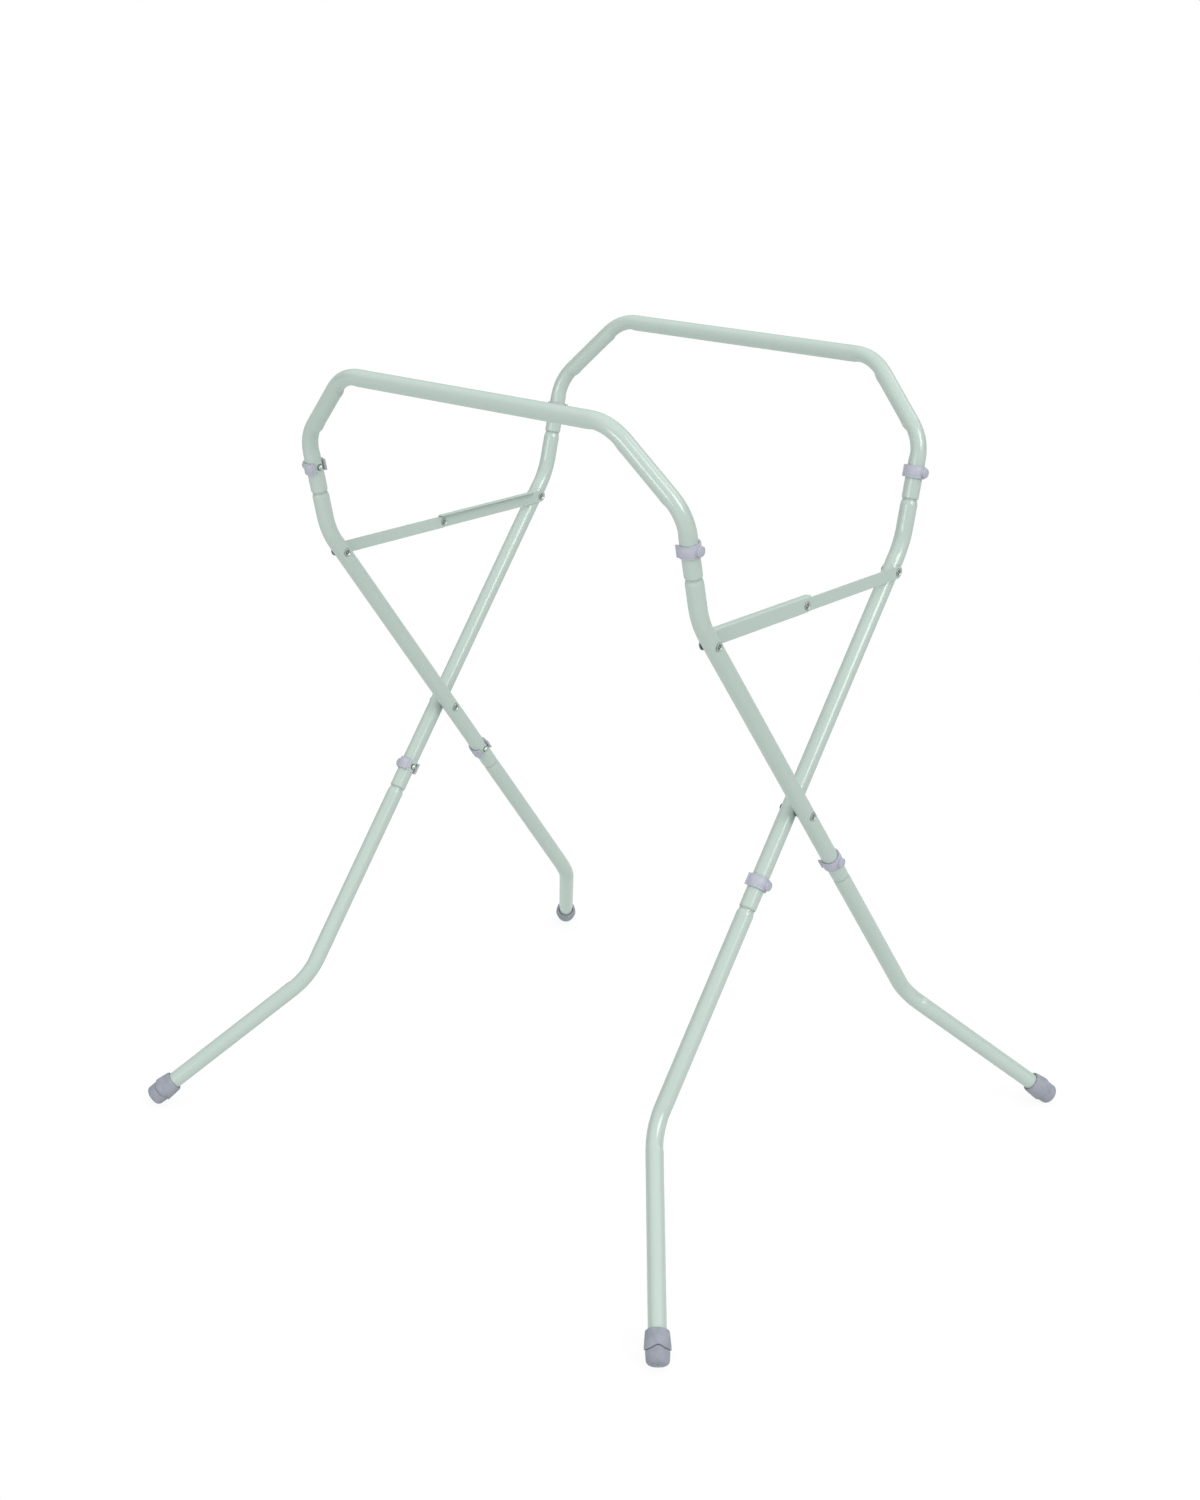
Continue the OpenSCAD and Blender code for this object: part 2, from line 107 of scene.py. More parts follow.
shiftedPlaces = {
    "a_front": asDrawn, "a_back": toBack,
    "b_back": turnHalf, "b_front": lambda points: turnHalf(toBack(points)),
}
mirroredPlaces = {
    "a_front": asDrawn, "a_back": flipSide,
    "b_back": turnHalf, "b_front": lambda points: turnHalf(flipSide(points)),
}


def smooth(x):
    # cubic step from 0 to 1
    x = np.clip(x, 0, 1)
    return x * x * (3 - 2 * x)


def bell(x, width):
    # bell curve, 1 in the middle and 1 / e so far from it
    return np.exp(-(x / width) ** 2)


def wornRing(distance, wear):
    # a ring of worn paint: its amount, distance and width
    amount, middle, width = wear
    return amount * bell(distance - middle, width)


def outwards(points, quads):
    # winds the faces so that the signed volume under them, the sum of a.(b x c) + a.(c x d), is positive
    a, b, c, d = (points[quads[:, k]] - points.mean(0) for k in range(4))
    volume = np.sum(a * np.cross(b, c)) + np.sum(a * np.cross(c, d))
    return quads if volume > 0 else quads[:, ::-1]


def closePoles(mesh):
    # a ring drawn in to one point or line becomes that point or line
    work = bmesh.new()
    work.from_mesh(mesh)
    bmesh.ops.remove_doubles(work, verts=work.verts, dist=poleGap)
    work.to_mesh(mesh)
    work.free()


def addObject(name, data):
    item = bpy.data.objects.new(name, data)
    bpy.context.scene.collection.objects.link(item)
    return item


def meshPiece(name, points, quads, look, body, node, wearDustAndShade=None):
    # puts a grid into a mesh, faces outwards; the mark kept for each point gives the worn and dusty places,
    # and the painted shade in crevices, recesses and behind tubes, for the material
    points = np.asarray(points, float).reshape(-1, 3) * mm
    quads = outwards(points, np.asarray(quads, int).reshape(-1, 4))
    mesh = bpy.data.meshes.new(name)
    mesh.vertices.add(len(points))
    mesh.vertices.foreach_set("co", points.astype(np.float32).ravel())
    mesh.loops.add(quads.size)
    mesh.loops.foreach_set("vertex_index", quads.astype(np.int32).ravel())
    mesh.polygons.add(len(quads))
    mesh.polygons.foreach_set("loop_start", np.arange(0, quads.size, 4, dtype=np.int32))
    mesh.update(calc_edges=True)
    mark = mesh.attributes.new("wearDustAndShade", "FLOAT", "POINT")
    if wearDustAndShade is not None:
        mark.data.foreach_set("value", np.asarray(wearDustAndShade, np.float32).ravel())
    closePoles(mesh)
    mesh.shade_smooth()
    mesh.set_sharp_from_angle(angle=math.radians(creaseAngle))
    mesh.materials.append(look["material"])
    piece = addObject(name, mesh)
    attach(piece, body)
    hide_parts(node)


def gridQuads(grid, closedRows=True):
    # four corners of each cell of a grid; its columns wrap round, and its rows may
    rows, columns = grid.shape[:2]
    r = np.arange(rows if closedRows else rows - 1)
    r, c = np.meshgrid(r, np.arange(columns), indexing="ij")
    r1, c1 = (r + 1) % rows, (c + 1) % columns
    corners = [r * columns + c, r * columns + c1, r1 * columns + c1, r1 * columns + c]
    return np.stack(corners, -1).reshape(-1, 4)


def turnedGrid(profile, around, wobble=None):
    # radius r and height h of each profile point go to (r cos a, r sin a, h) at each angle a
    profile = np.asarray(profile, float)
    a = np.linspace(0, 2 * np.pi, around, endpoint=False)
    r = np.repeat(profile[:, :1], around, 1)
    h = np.repeat(profile[:, 1:2], around, 1)
    if wobble is not None:
        h = wobble(h, a)
    points = np.stack([r * np.cos(a), r * np.sin(a), h], -1)
    return points, gridQuads(points, closedRows=False)


def alongY(grid):
    # a turned shape with its axis along Y instead of Z
    return grid[..., [0, 2, 1]].reshape(-1, 3)


def standUp(points, origin, axis, side):
    # takes local Z to axis and local Y to side, at origin
    z = np.asarray(axis, float) / np.linalg.norm(axis)
    y = np.asarray(side, float) / np.linalg.norm(side)
    return np.asarray(origin) + points @ np.stack([np.cross(y, z), y, z])


def arc(centre, radius, start, end, count):
    # points of a circle arc in a profile, angles in degrees
    a = np.radians(np.linspace(start, end, count))
    return np.stack([centre[0] + radius * np.cos(a), centre[1] + radius * np.sin(a)], 1)


class Wire:
    # a socket that can be used in sums, differences, products and quotients
    def __init__(self, socket):
        self.socket = socket

    def blend(self, operation, other, swap=False):
        # a Math node on this socket and another socket or number
        tree = self.socket.node.id_data
        node = tree.nodes.new("ShaderNodeMath")
        node.operation = operation
        for k, value in enumerate((other, self) if swap else (self, other)):
            if isinstance(value, Wire):
                tree.links.new(value.socket, node.inputs[k])
            else:
                node.inputs[k].default_value = value
        return Wire(node.outputs[0])

    def __add__(self, other):
        return self.blend("ADD", other)

    def __radd__(self, other):
        return self.blend("ADD", other, True)

    def __sub__(self, other):
        return self.blend("SUBTRACT", other)

    def __rsub__(self, other):
        return self.blend("SUBTRACT", other, True)

    def __mul__(self, other):
        return self.blend("MULTIPLY", other)

    def __rmul__(self, other):
        return self.blend("MULTIPLY", other, True)

    def __truediv__(self, other):
        return self.blend("DIVIDE", other)

    def step(self, low, high):
        # 0 below low and 1 above high, with a smooth way between
        t = ((self - low) / (high - low)).blend("MAXIMUM", 0.0).blend("MINIMUM", 1.0)
        return t * t * (3.0 - 2.0 * t)


class NodeTree:
    # the nodes of a material or of the world; all but the maths come from one method
    def __init__(self, tree):
        self.tree = tree

    def fill(self, socket, value):
        # links a socket, or gives it a fixed value
        if isinstance(value, Wire):
            self.tree.links.new(value.socket, socket)
        else:
            socket.default_value = value

    def node(self, kind, settings=None, sockets=None, output=0):
        node = self.tree.nodes.new("ShaderNode" + kind)
        for key, value in (settings or {}).items():
            setattr(node, key, value)
        for key, value in (sockets or {}).items():
            self.fill(node.inputs[key], value)
        return Wire(node.outputs[output])

    def colours(self, amount, first, second):
        # colour between two colours; the sockets of a colour mix are 0, 6 and 7, and its result is output 2
        first = first if isinstance(first, Wire) else (*first, 1)
        return self.node("Mix", {"data_type": "RGBA"}, {0: amount, 6: first, 7: (*second, 1)}, 2)

    def ray(self, kind):
        # 1 for light that is followed for this kind of ray, and 0 for the rest
        return self.node("LightPath", output="Is " + kind + " Ray")

    def parts(self, vector):
        # the three parts of a vector, as numbers
        split = self.node("SeparateXYZ", None, {0: vector}).socket.node
        return [Wire(output) for output in split.outputs]


class Finish(NodeTree):
    # a material with one Principled shader, made from the numbers of a look; an underscore in the name of a
    # socket stands for a space
    def __init__(self, name, look, **fixed):
        self.look = look
        self.material = bpy.data.materials.new(name)
        self.material.use_nodes = True
        super().__init__(self.material.node_tree)
        self.place = self.node("TexCoord", output="Object")
        self.feed(**fixed)

    def feed(self, **sockets):
        shader = self.tree.nodes["Principled BSDF"]
        for socket, value in sockets.items():
            self.fill(shader.inputs[socket.replace("_", " ")], value)

    def noise(self, pattern, detail, roughness=0.5):
        scale = self.look[pattern]
        sockets = {"Vector": self.place, "Scale": scale, "Detail": detail, "Roughness": roughness}
        return self.node("TexNoise", None, sockets)

    def wearDustAndShade(self):
        # the mark kept at each point of the mesh, for wear, dust and painted shade; output 2 gives it as one
        # number
        return self.node("Attribute", {"attribute_name": "wearDustAndShade"}, output=2)

    def bump(self, height, depth, strength, before=None):
        # before is the bump that lies under this one
        sockets = {"Height": height, "Distance": self.look[depth] * mm, "Strength": strength}
        if before is not None:
            sockets["Normal"] = before
        return self.node("Bump", None, sockets)

    def ready(self, slot="slot"):
        return {"material": self.material, "slot": self.look[slot]}


def srgb(r, g, b):
    # a colour as it is read from a screen, to the linear one that a shader takes
    return tuple(c / 12.92 if c <= 0.04045 else ((c + 0.055) / 1.055) ** 2.4
                 for c in (r / 255, g / 255, b / 255))


# in each look the numbers named for a pattern are the scale of its noise, and depths are in millimetres
paintLook = {
    "base": srgb(177, 192, 185), "cool": srgb(174, 189, 182), "rubbed": srgb(150, 164, 157),
    "paintedShadeColour": srgb(92, 104, 98), "roughness": 0.2, "coat": 0.42, "coatRoughness": 0.09, "specular": 0.68,
    "broad": 7, "cloud": 38, "scuff": 260, "peel": 340, "peelDepth": 0.006, "grit": 900, "gritDepth": 0.002,
    "slot": "tube_paint",
}


def paintFinish():
    look = paintLook
    paint = Finish(
        "sagePaint", look, Coat_Weight=look["coat"], Coat_Roughness=look["coatRoughness"],
        Specular_IOR_Level=look["specular"],
    )
    broad = paint.noise("broad", 3)
    cloud = paint.noise("cloud", 3)
    grit = paint.noise("grit", 3)
    peel = paint.noise("peel", 2)
    mark = paint.wearDustAndShade()
    mask = (mark * (0.35 + 1.3 * paint.noise("scuff", 4))).step(0.35, 0.95)
    tint = paint.colours(0.5 * broad + 0.5 * cloud, look["base"], look["cool"])
    tint = paint.colours(mask * 0.75, tint, look["rubbed"])
    paint.feed(
        # painted shade: places marked above 1.3, the link faces behind the tubes next to their pivots, go
        # towards the dark paint colour
        Base_Color=paint.colours(mark.step(1.3, 2.2) * 0.9, tint, look["paintedShadeColour"]),
        Roughness=look["roughness"] + 0.10 * (broad - 0.5) + 0.08 * (grit - 0.5) + 0.18 * mask,
        Normal=paint.bump(grit, "gritDepth", 0.5, paint.bump(peel, "peelDepth", 0.6)),
    )
    return paint.ready()


plasticLook = {
    "base": srgb(176, 178, 190), "shade": srgb(168, 170, 183), "roughness": 0.42, "specular": 0.45,
    "glow": 0.05, "glowDepth": 2,
    "cloud": 60, "cloudDepth": 0.08, "wear": 500, "grain": 1500, "grainDepth": 0.012,
    "slot": "clip_plastic",
}


def plasticFinish():
    look = plasticLook
    plastic = Finish(
        "clipPlastic", look, Subsurface_Weight=look["glow"], Subsurface_Scale=look["glowDepth"] * mm,
        Specular_IOR_Level=look["specular"],
    )
    cloud = plastic.noise("cloud", 3)
    grain = plastic.noise("grain", 3)
    worn = plastic.wearDustAndShade() * (0.4 + 1.2 * plastic.noise("wear", 3))
    plastic.feed(
        Base_Color=plastic.colours(cloud * 0.8 + worn * 0.3, look["base"], look["shade"]),
        Roughness=look["roughness"] + 0.12 * (grain - 0.5) - 0.08 * worn,
        Normal=plastic.bump(grain, "grainDepth", 0.6, plastic.bump(cloud, "cloudDepth", 0.3)),
    )
    return plastic.ready()


rubberLook = {
    "base": srgb(146, 150, 160), "shade": srgb(134, 138, 149), "dusty": srgb(156, 159, 167),
    "paintedCreviceShade": srgb(70, 72, 80), "roughness": 0.58, "specular": 0.4,
    "flow": 55, "flowDepth": 0.3, "dust": 180, "streak": 260, "grain": 1300, "grainDepth": 0.03,
    "slot": "foot_rubber",
}


def rubberFinish():
    look = rubberLook
    rubber = Finish("footRubber", look, Specular_IOR_Level=look["specular"])
    flow = rubber.noise("flow", 4, 0.6)
    grain = rubber.noise("grain", 4)
    mark = rubber.wearDustAndShade()
    dust = mark * rubber.noise("dust", 4, 0.6)
    streak = rubber.noise("streak", 5, 0.65)
    surface = rubber.colours((0.7 * flow + 0.3 * streak).step(0.38, 0.62), look["base"], look["shade"])
    surface = rubber.colours(dust.step(0.2, 0.6) * 0.6, surface, look["dusty"])
    rubber.feed(
        # painted shade: the crevice of the step, the mouth round the tube and the dimple of the tip, marked
        # below zero, go towards the dark colour
        Base_Color=rubber.colours((mark * -1.0).step(0.1, 0.9) * 0.75, surface, look["paintedCreviceShade"]),
        Roughness=look["roughness"] + 0.2 * (flow - 0.5) + 0.1 * (grain - 0.5),
        Normal=rubber.bump(grain, "grainDepth", 0.7, rubber.bump(flow, "flowDepth", 0.35)),
    )
    return rubber.ready()


steelLook = {
    "bright": srgb(230, 231, 228), "dull": srgb(190, 194, 191), "paintedShade": srgb(71, 80, 76),
    "pinRoughness": 0.36, "rivetRoughness": 0.42, "pinBrightness": 1.0, "rivetBrightness": 0.85,
    "spots": 420, "lines": 2200, "lineDepth": 0.008,
    "pinSlot": "pin_steel", "rivetSlot": "rivet_steel",
}


def steelFinish(kind):
    look = steelLook
    steel = Finish(kind + "Steel", look, Metallic=1.0)
    spots = steel.noise("spots", 4, 0.6)
    lines = steel.noise("lines", 2)
    bright, dull = ([c * look[kind + "Brightness"] for c in look[key]] for key in ("bright", "dull"))
    tone = steel.colours(spots.step(0.35, 0.7), bright, dull)
    # painted shade: the marked places of a rivet, in its dish, at the foot of its rim and on its dome, go
    # towards the dark colour
    paintedShade = steel.wearDustAndShade() * (0.75 + 0.5 * spots)
    steel.feed(
        Base_Color=steel.colours(paintedShade.step(0.1, 1.0), tone, look["paintedShade"]),
        Roughness=look[kind + "Roughness"] + 0.2 * (spots - 0.5) + 0.1 * (lines - 0.5),
        Normal=steel.bump(lines, "lineDepth", 0.6),
    )
    return steel.ready(kind + "Slot")


# the spacer's dark grey is painted shade: it stands in for the shadow in the gap between the crossing tubes
shadedNylonLook = {
    "base": srgb(92, 98, 96), "shade": srgb(78, 84, 82), "roughness": 0.4, "glow": 0.1, "glowDepth": 2,
    "cloud": 160, "grain": 1400, "grainDepth": 0.01, "slot": "spacer_nylon",
}


def shadedNylonFinish():
    look = shadedNylonLook
    shadedNylon = Finish(
        "spacerNylonPaintedShade", look, Subsurface_Weight=look["glow"], Subsurface_Scale=look["glowDepth"] * mm,
    )
    cloud = shadedNylon.noise("cloud", 3)
    shadedNylon.feed(
        Base_Color=shadedNylon.colours(cloud, look["base"], look["shade"]),
        Roughness=look["roughness"] + 0.15 * (cloud - 0.5),
        Normal=shadedNylon.bump(shadedNylon.noise("grain", 2), "grainDepth", 0.5),
    )
    return shadedNylon.ready()


paint = paintFinish()
linkPaint = {**paint, "slot": "brace_paint"}
plastic = plasticFinish()
rubber = rubberFinish()
pinSteel = steelFinish("pin")
rivetSteel = steelFinish("rivet")
shadedNylon = shadedNylonFinish()
print("finishes ready")

tube = {
    "radius": 10, "wall": 1.2, "leastWall": 0.3, "around": 96,
    "neckRadius": 8.65, "neckDepth": 44, "neckShow": 0.8, "shoulder": 6.5,
    "endTaper": 0.85, "endTaperLength": 2.6,
    "coarseStep": 14, "bendStep": 1.5, "bendMargin": 14, "detailStep": 0.45, "leastStep": 0.2,
    "socketWear": (1, 0, 1.6), "neckWear": (0.8, 1.5, 2.0),  # amount, distance from the end, width
    "facing": 0.2,  # a hole changes the tube where it looks at least this much along the hole's axis
}
ends = {  # where the fine stations lie at an end, how far they reach, and how far apart they are
    "neck": {"middle": 3.8, "reach": 5, "step": 0.5},
    "socket": {"middle": 0, "reach": 3.2, "step": 0.35},
}
# windows and pin holes go in on two sides, a seat for a rivet is pressed flat on one; fine is how far the
# close stations reach, and wear is the amount, the distance and the width of a ring of worn paint
holeKinds = {
    "window": {
        "sides": (-1, 1), "radius": 3.35, "edge": 0.35, "depth": 7, "fine": 6.5, "wear": (0.8, 4.2, 0.8),
    },
    "pinHole": {
        "sides": (-1, 1), "radius": 2.9, "edge": 0.3, "depth": 5.5, "fine": 3.5, "wear": (0, 3, 1),
    },
    "seat": {
        "sides": (-1,), "radius": 4.9, "edge": 2.6, "level": 9.5, "rise": 1.6, "blend": 0.12,
        "fine": 8.5, "wear": (0.9, 5.2, 1.2),
    },
}
bends = {  # how far the inside and the outside are pressed in, and at which end of each the knuckle stands
    "loop": {"radius": 55, "pressed": 1.35, "outer": 0.3, "knuckle": 0.6, "ends": (1, -1, 1, -1)},
    "elbow": {"radius": 95, "pressed": 0.4, "outer": 0.15, "knuckle": 0.1, "ends": (1,)},
    "leg": {"radius": 90, "pressed": 0.7, "outer": 0.2, "knuckle": 0.4, "ends": (1,)},
}
bendPress = {  # lengths along a bend, counted from its end with the knuckle
    "start": -1.5, "fadeIn": 6, "past": 4, "fadeOut": 14,
    "knuckle": -4, "knuckleSteep": 2.6, "knuckleSlow": 5.5,
}


def planPath(corners, radius):
    # straights between the corners, joined by arcs of the given radius that touch them
    corners = np.asarray(corners, float)
    runs = np.diff(corners, axis=0)
    lengths = np.linalg.norm(runs, axis=1)
    dirs = runs / lengths[:, None]
    normal = np.cross(dirs[0], dirs[1])
    normal /= np.linalg.norm(normal)
    pieces = []
    s = trim = 0.0
    for i, d in enumerate(dirs):
        angle = math.acos(np.clip(d @ dirs[i + 1], -1, 1)) if i + 1 < len(dirs) else 0
        cut = radius * math.tan(angle / 2)
        straight = lengths[i] - trim - cut
        pieces.append((s, straight, corners[i] + d * trim, d, 0.0))
        s += straight
        if angle:
            sign = math.copysign(1, np.cross(d, dirs[i + 1]) @ normal)
            pieces.append((s, radius * angle, corners[i + 1] - d * cut, d, sign / radius))
            s += radius * angle
        trim = cut
    names = ("start", "length", "origin", "heading", "curve")
    path = {name: np.array(values) for name, values in zip(names, zip(*pieces))}
    return {**path, "normal": normal, "total": s}


def alongPath(path, s):
    # point and inward side at each distance s: a straight runs on, and an arc turns its heading and its side
    # by its curve times the way since its start
    k = np.clip(np.searchsorted(path["start"], s, side="right") - 1, 0, len(path["start"]) - 1)
    t = s - path["start"][k]
    curve = path["curve"][k]
    heading = path["heading"][k]
    side = np.cross(path["normal"], heading)
    turn = curve * t
    forward = t * np.sinc(turn / np.pi)
    sideways = 0.5 * curve * t * t * np.sinc(turn / 2 / np.pi) ** 2
    c, n = np.cos(turn)[:, None], np.sin(turn)[:, None]
    point = path["origin"][k] + forward[:, None] * heading + sideways[:, None] * side
    return point, c * side - n * heading


def stationsFor(path, first, last, details):
    # closer together in bends and round details, far apart on straights
    parts = [np.arange(first, last, tube["coarseStep"]), [last]]
    for start, length, curve in zip(path["start"], path["length"], path["curve"]):
        if curve:
            margin = tube["bendMargin"]
            parts.append(np.arange(start - margin, start + length + margin, tube["bendStep"]))
    for at, reach, step in details:
        parts.append(np.arange(at - reach, at + reach, step))
    s = np.sort(np.concatenate(parts))
    s = s[(s >= first) & (s <= last)]
    keep = np.concatenate([[True], np.diff(s) > tube["leastStep"]])
    keep[-1] = True
    return s[keep]


def bentRadius(path, bend, s, across):
    # change of the radius: pressed in by the square of the cosine towards the inside of a bend, with a bell
    # shaped knuckle where the bending tool held the tube
    press = bendPress
    change = np.zeros((len(s), len(across)))
    curved = [k for k, curve in enumerate(path["curve"]) if curve]
    for k, end in zip(curved, bend["ends"]):
        inner = math.copysign(1, path["curve"][k]) * np.cos(across)
        length = path["length"][k]
        t = (0.5 - ((s - path["start"][k]) / length - 0.5) * end) * length  # from the end with the knuckle
        within = smooth((t - press["start"]) / press["fadeIn"])
        within = within * smooth((length + press["past"] - t) / press["fadeOut"])
        away = t - press["knuckle"]
        knuckle = bell(away, np.where(away > 0, press["knuckleSteep"], press["knuckleSlow"]))
        change -= bend["pressed"] * within[:, None] * np.clip(inner, 0, 1) ** 2
        change -= bend["outer"] * within[:, None] * np.clip(-inner, 0, 1) ** 2
        change += bend["knuckle"] * knuckle[:, None] * np.clip(inner, 0, 1) ** 3
    return change


def tubeOutline(s, endings):
    # outer radius, bore and wear at each distance along a tube: a neck widens to the full radius over its
    # shoulder, and an open socket end is drawn in along a quarter circle
    outer = np.full_like(s, tube["radius"])
    bore = np.full_like(s, tube["radius"] - tube["wall"])
    if endings[0] == "neck":
        shoulder = smooth((s - tube["neckShow"]) / tube["shoulder"])
        outer = tube["neckRadius"] + (tube["radius"] - tube["neckRadius"]) * shoulder
        bore = outer - tube["wall"]
    wearDustAndShade = np.zeros_like(s)
    for end, distance in zip(endings, (s, s[-1] - s)):
        if end == "socket":
            e = np.clip(distance / tube["endTaperLength"], 0, 1)
            outer = outer - tube["endTaper"] * (1 - np.sqrt(1 - (1 - e) ** 2))
        if end != "plain":
            wearDustAndShade += wornRing(distance, tube[end + "Wear"])
    return outer, bore, wearDustAndShade


def addHoles(holes, s, ring, radius, wearDustAndShade):
    # reach is the distance from the axis of a hole, which runs along Y; within the hole the radius drops by
    # its depth, at a seat it comes down to a plane, level / cos, with a rounded edge; round both the paint
    # is worn
    for at, what in holes:
        hole = holeKinds[what]
        for way in hole["sides"]:
            toward = ring[:, :, 1] * way  # how much each point of a ring looks to -Y or +Y
            near = toward > tube["facing"]
            reach = np.sqrt((s - at)[:, None] ** 2 + tube["radius"] ** 2 * np.clip(1 - toward ** 2, 0, 1))
            apart = smooth((reach - hole["radius"]) / hole["edge"])
            if what == "seat":
                plane = (hole["level"] + hole["rise"] * apart) / np.clip(toward, tube["facing"], 1)
                blend = hole["blend"]
                lowered = -blend * np.log(np.exp(-radius / blend) + np.exp(-plane / blend))
                lowered = np.minimum(radius, lowered)
            else:
                lowered = radius - hole["depth"] * (1 - apart)
            radius = np.where(near, lowered, radius)
            wearDustAndShade = wearDustAndShade + np.where(near, wornRing(reach, hole["wear"]), 0)
    return radius, wearDustAndShade


def tubePiece(kind, node, key, corners, bend, endings, holes, place):
    # circle of changing radius carried along the path, out along the outside and back along the bore
    # holes are (distance along the path, kind of hole), and endings are "neck", "socket" or "plain"
    path = planPath(corners, bends[bend]["radius"])
    first = -tube["neckDepth"] if endings[0] == "neck" else 0
    last = path["total"]
    details = [(at, holeKinds[what]["fine"], tube["detailStep"]) for at, what in holes]
    for end, at, way in zip(endings, (0, last), (1, -1)):
        if end in ends:
            details.append((at + way * ends[end]["middle"], ends[end]["reach"], ends[end]["step"]))
    s = stationsFor(path, first, last, details)
    across = np.linspace(0, 2 * np.pi, tube["around"], endpoint=False)
    point, side = alongPath(path, s)
    ring = np.cos(across)[None, :, None] * side[:, None, :] + np.sin(across)[None, :, None] * path["normal"]

    outer, bore, wearDustAndShade = tubeOutline(s, endings)
    radius = outer[:, None] + bentRadius(path, bends[bend], s, across)
    radius, wearDustAndShade = addHoles(holes, s, ring, radius, np.repeat(wearDustAndShade[:, None], tube["around"], 1))
    inside = np.minimum(bore[:, None], np.minimum(radius, outer[:, None]) - tube["leastWall"])
    outside = point[:, None] + radius[..., None] * ring
    within = (point[:, None] + inside[..., None] * ring)[::-1]
    grid = np.concatenate([outside, within])
    wearDustAndShade = np.concatenate([wearDustAndShade, np.zeros_like(wearDustAndShade)])
    name, node = kind + "_" + key, node + "_" + key
    meshPiece(name, place(grid), gridQuads(grid), paint, "frame_" + key[0], node, wearDustAndShade)


cornerRise = stand["loopCornerRise"]
barRise = cornerRise + stand["chamferRise"]
span = stand["sideSpan"]
loopCorners = [
    onLoop(stand["loopEndRise"]), onLoop(cornerRise), onLoop(barRise, stand["chamferRun"]),
    onLoop(barRise, span - stand["chamferRun"]), onLoop(cornerRise, span), onLoop(stand["loopEndRise"], span),
]
loopTotal = planPath(loopCorners, bends["loop"]["radius"])["total"]
loopHoles = [(stand["pinSetback"], "window"), (loopTotal - stand["pinSetback"], "window")]
for key, place in (("a", asDrawn), ("b", turnHalf)):
    tubePiece("topLoop", "top_loop", key, loopCorners, "loop", ("socket", "socket"), loopHoles, place)
print("top loops ready")

middleCorners = [onLoop(stand["loopEndRise"]), elbowPoint, onTube(-stand["middleTubeEnd"])]
middleTotal = planPath(middleCorners, bends["elbow"]["radius"])["total"]
crossing = middleTotal - stand["middleTubeEnd"]
middleEndings = ("neck", "socket")
middleHoles = [
    (-stand["pinSetback"], "pinHole"),
    (crossing - stand["braceReach"], "seat"),
    (crossing, "seat"),
    (middleTotal - stand["pinSetback"], "window"),
]
for key, place in shiftedPlaces.items():
    tubePiece("middleTube", "middle_tube", key, middleCorners, "elbow", middleEndings, middleHoles, place)
print("middle tubes ready")

foot = {
    "length": 35.5, "lowLength": 15.2, "around": 96,
    "rimRadius": 13.1, "stepRadius": 14.5, "lowRadius": 13.1, "tipRadius": 12.7,
    "edgeRadius": 5, "sole": 7, "flat": 0.4, "rimRound": 2.3,
    "crest": 1.6, "crestPeak": 0.5, "crestCount": 3, "crestFrom": 3, "crestRise": 9, "crestFade": 10,
    "dimple": 1.2, "dimpleDepth": 1.4, "creviceWidth": 0.5, "mouthDepth": 4, "dust": 0.9, "dustHeight": 5,
}
legCorner = onTube(-stand["lowerReach"])
edgeIn = foot["tipRadius"] - foot["edgeRadius"]
tipHeight = foot["edgeRadius"] * (1 - sinDeg(stand["footPitch"])) + edgeIn * cosDeg(stand["footPitch"])
tipHeight -= foot["flat"]  # so much of the edge would be under the floor, and is flat
footTip = legCorner + legEndDir * (legCorner[2] - tipHeight) / sinDeg(stand["footPitch"])
legCorners = [onTube(-stand["middleTubeEnd"]), legCorner, footTip - foot["sole"] * legEndDir]
legHoles = [(-stand["pinSetback"], "pinHole")]
for key, place in mirroredPlaces.items():
    tubePiece("lowerLeg", "lower_leg", key, legCorners, "leg", ("neck", "plain"), legHoles, place)
print("legs ready")


def footProfile():
    # radius and height from the dimple in the tip, over the step and the rim, down into the mouth to the sole
    f = foot
    low, tip, step, rim, length = f["lowRadius"], f["tipRadius"], f["stepRadius"], f["rimRadius"], f["length"]
    line, dimple, deep, bore = f["lowLength"], f["dimple"], f["dimpleDepth"], tube["radius"]
    tread = [
        [0, deep], [dimple * 0.7, deep - 0.1], [dimple, deep * 0.5], [dimple + 0.15, 0.1], [dimple + 0.5, 0],
        [edgeIn - 1.8, 0], [edgeIn - 1.4, 0.28], [edgeIn - 0.9, 0.28], [edgeIn - 0.5, 0.02],
    ]
    stepped = [
        [tip + 0.15, f["edgeRadius"] + 3], [low, line - 2.2], [low, line - 1.1], [low - 0.2, line - 0.6],
        [low - 0.45, line - 0.25], [low - 0.45, line + 0.2], [low + 0.2, line + 0.12],
        [step - 0.65, line + 0.1], [step - 0.2, line + 0.25], [step - 0.02, line + 0.75], [step, line + 1.5],
        [step - 0.05, line + 4], [(step + rim) / 2 + 0.1, (line + length) / 2],
    ]
    mouth = [
        [bore + 0.95, length - 0.02], [bore + 0.7, length - 0.2], [bore + 0.6, length - 0.8],
        [bore + 0.55, length - 2.6], [bore + 0.05, length - 3.2],
        [bore, f["sole"] + 1], [bore - 0.1, f["sole"]], [0, f["sole"]],
    ]
    edge = arc((edgeIn, f["edgeRadius"]), f["edgeRadius"], -88, 0, 12)
    over = arc((rim - f["rimRound"], length - f["rimRound"]), f["rimRound"], 4, 90, 9)
    return np.concatenate([tread, edge, stepped, over, mouth]), len(mouth)


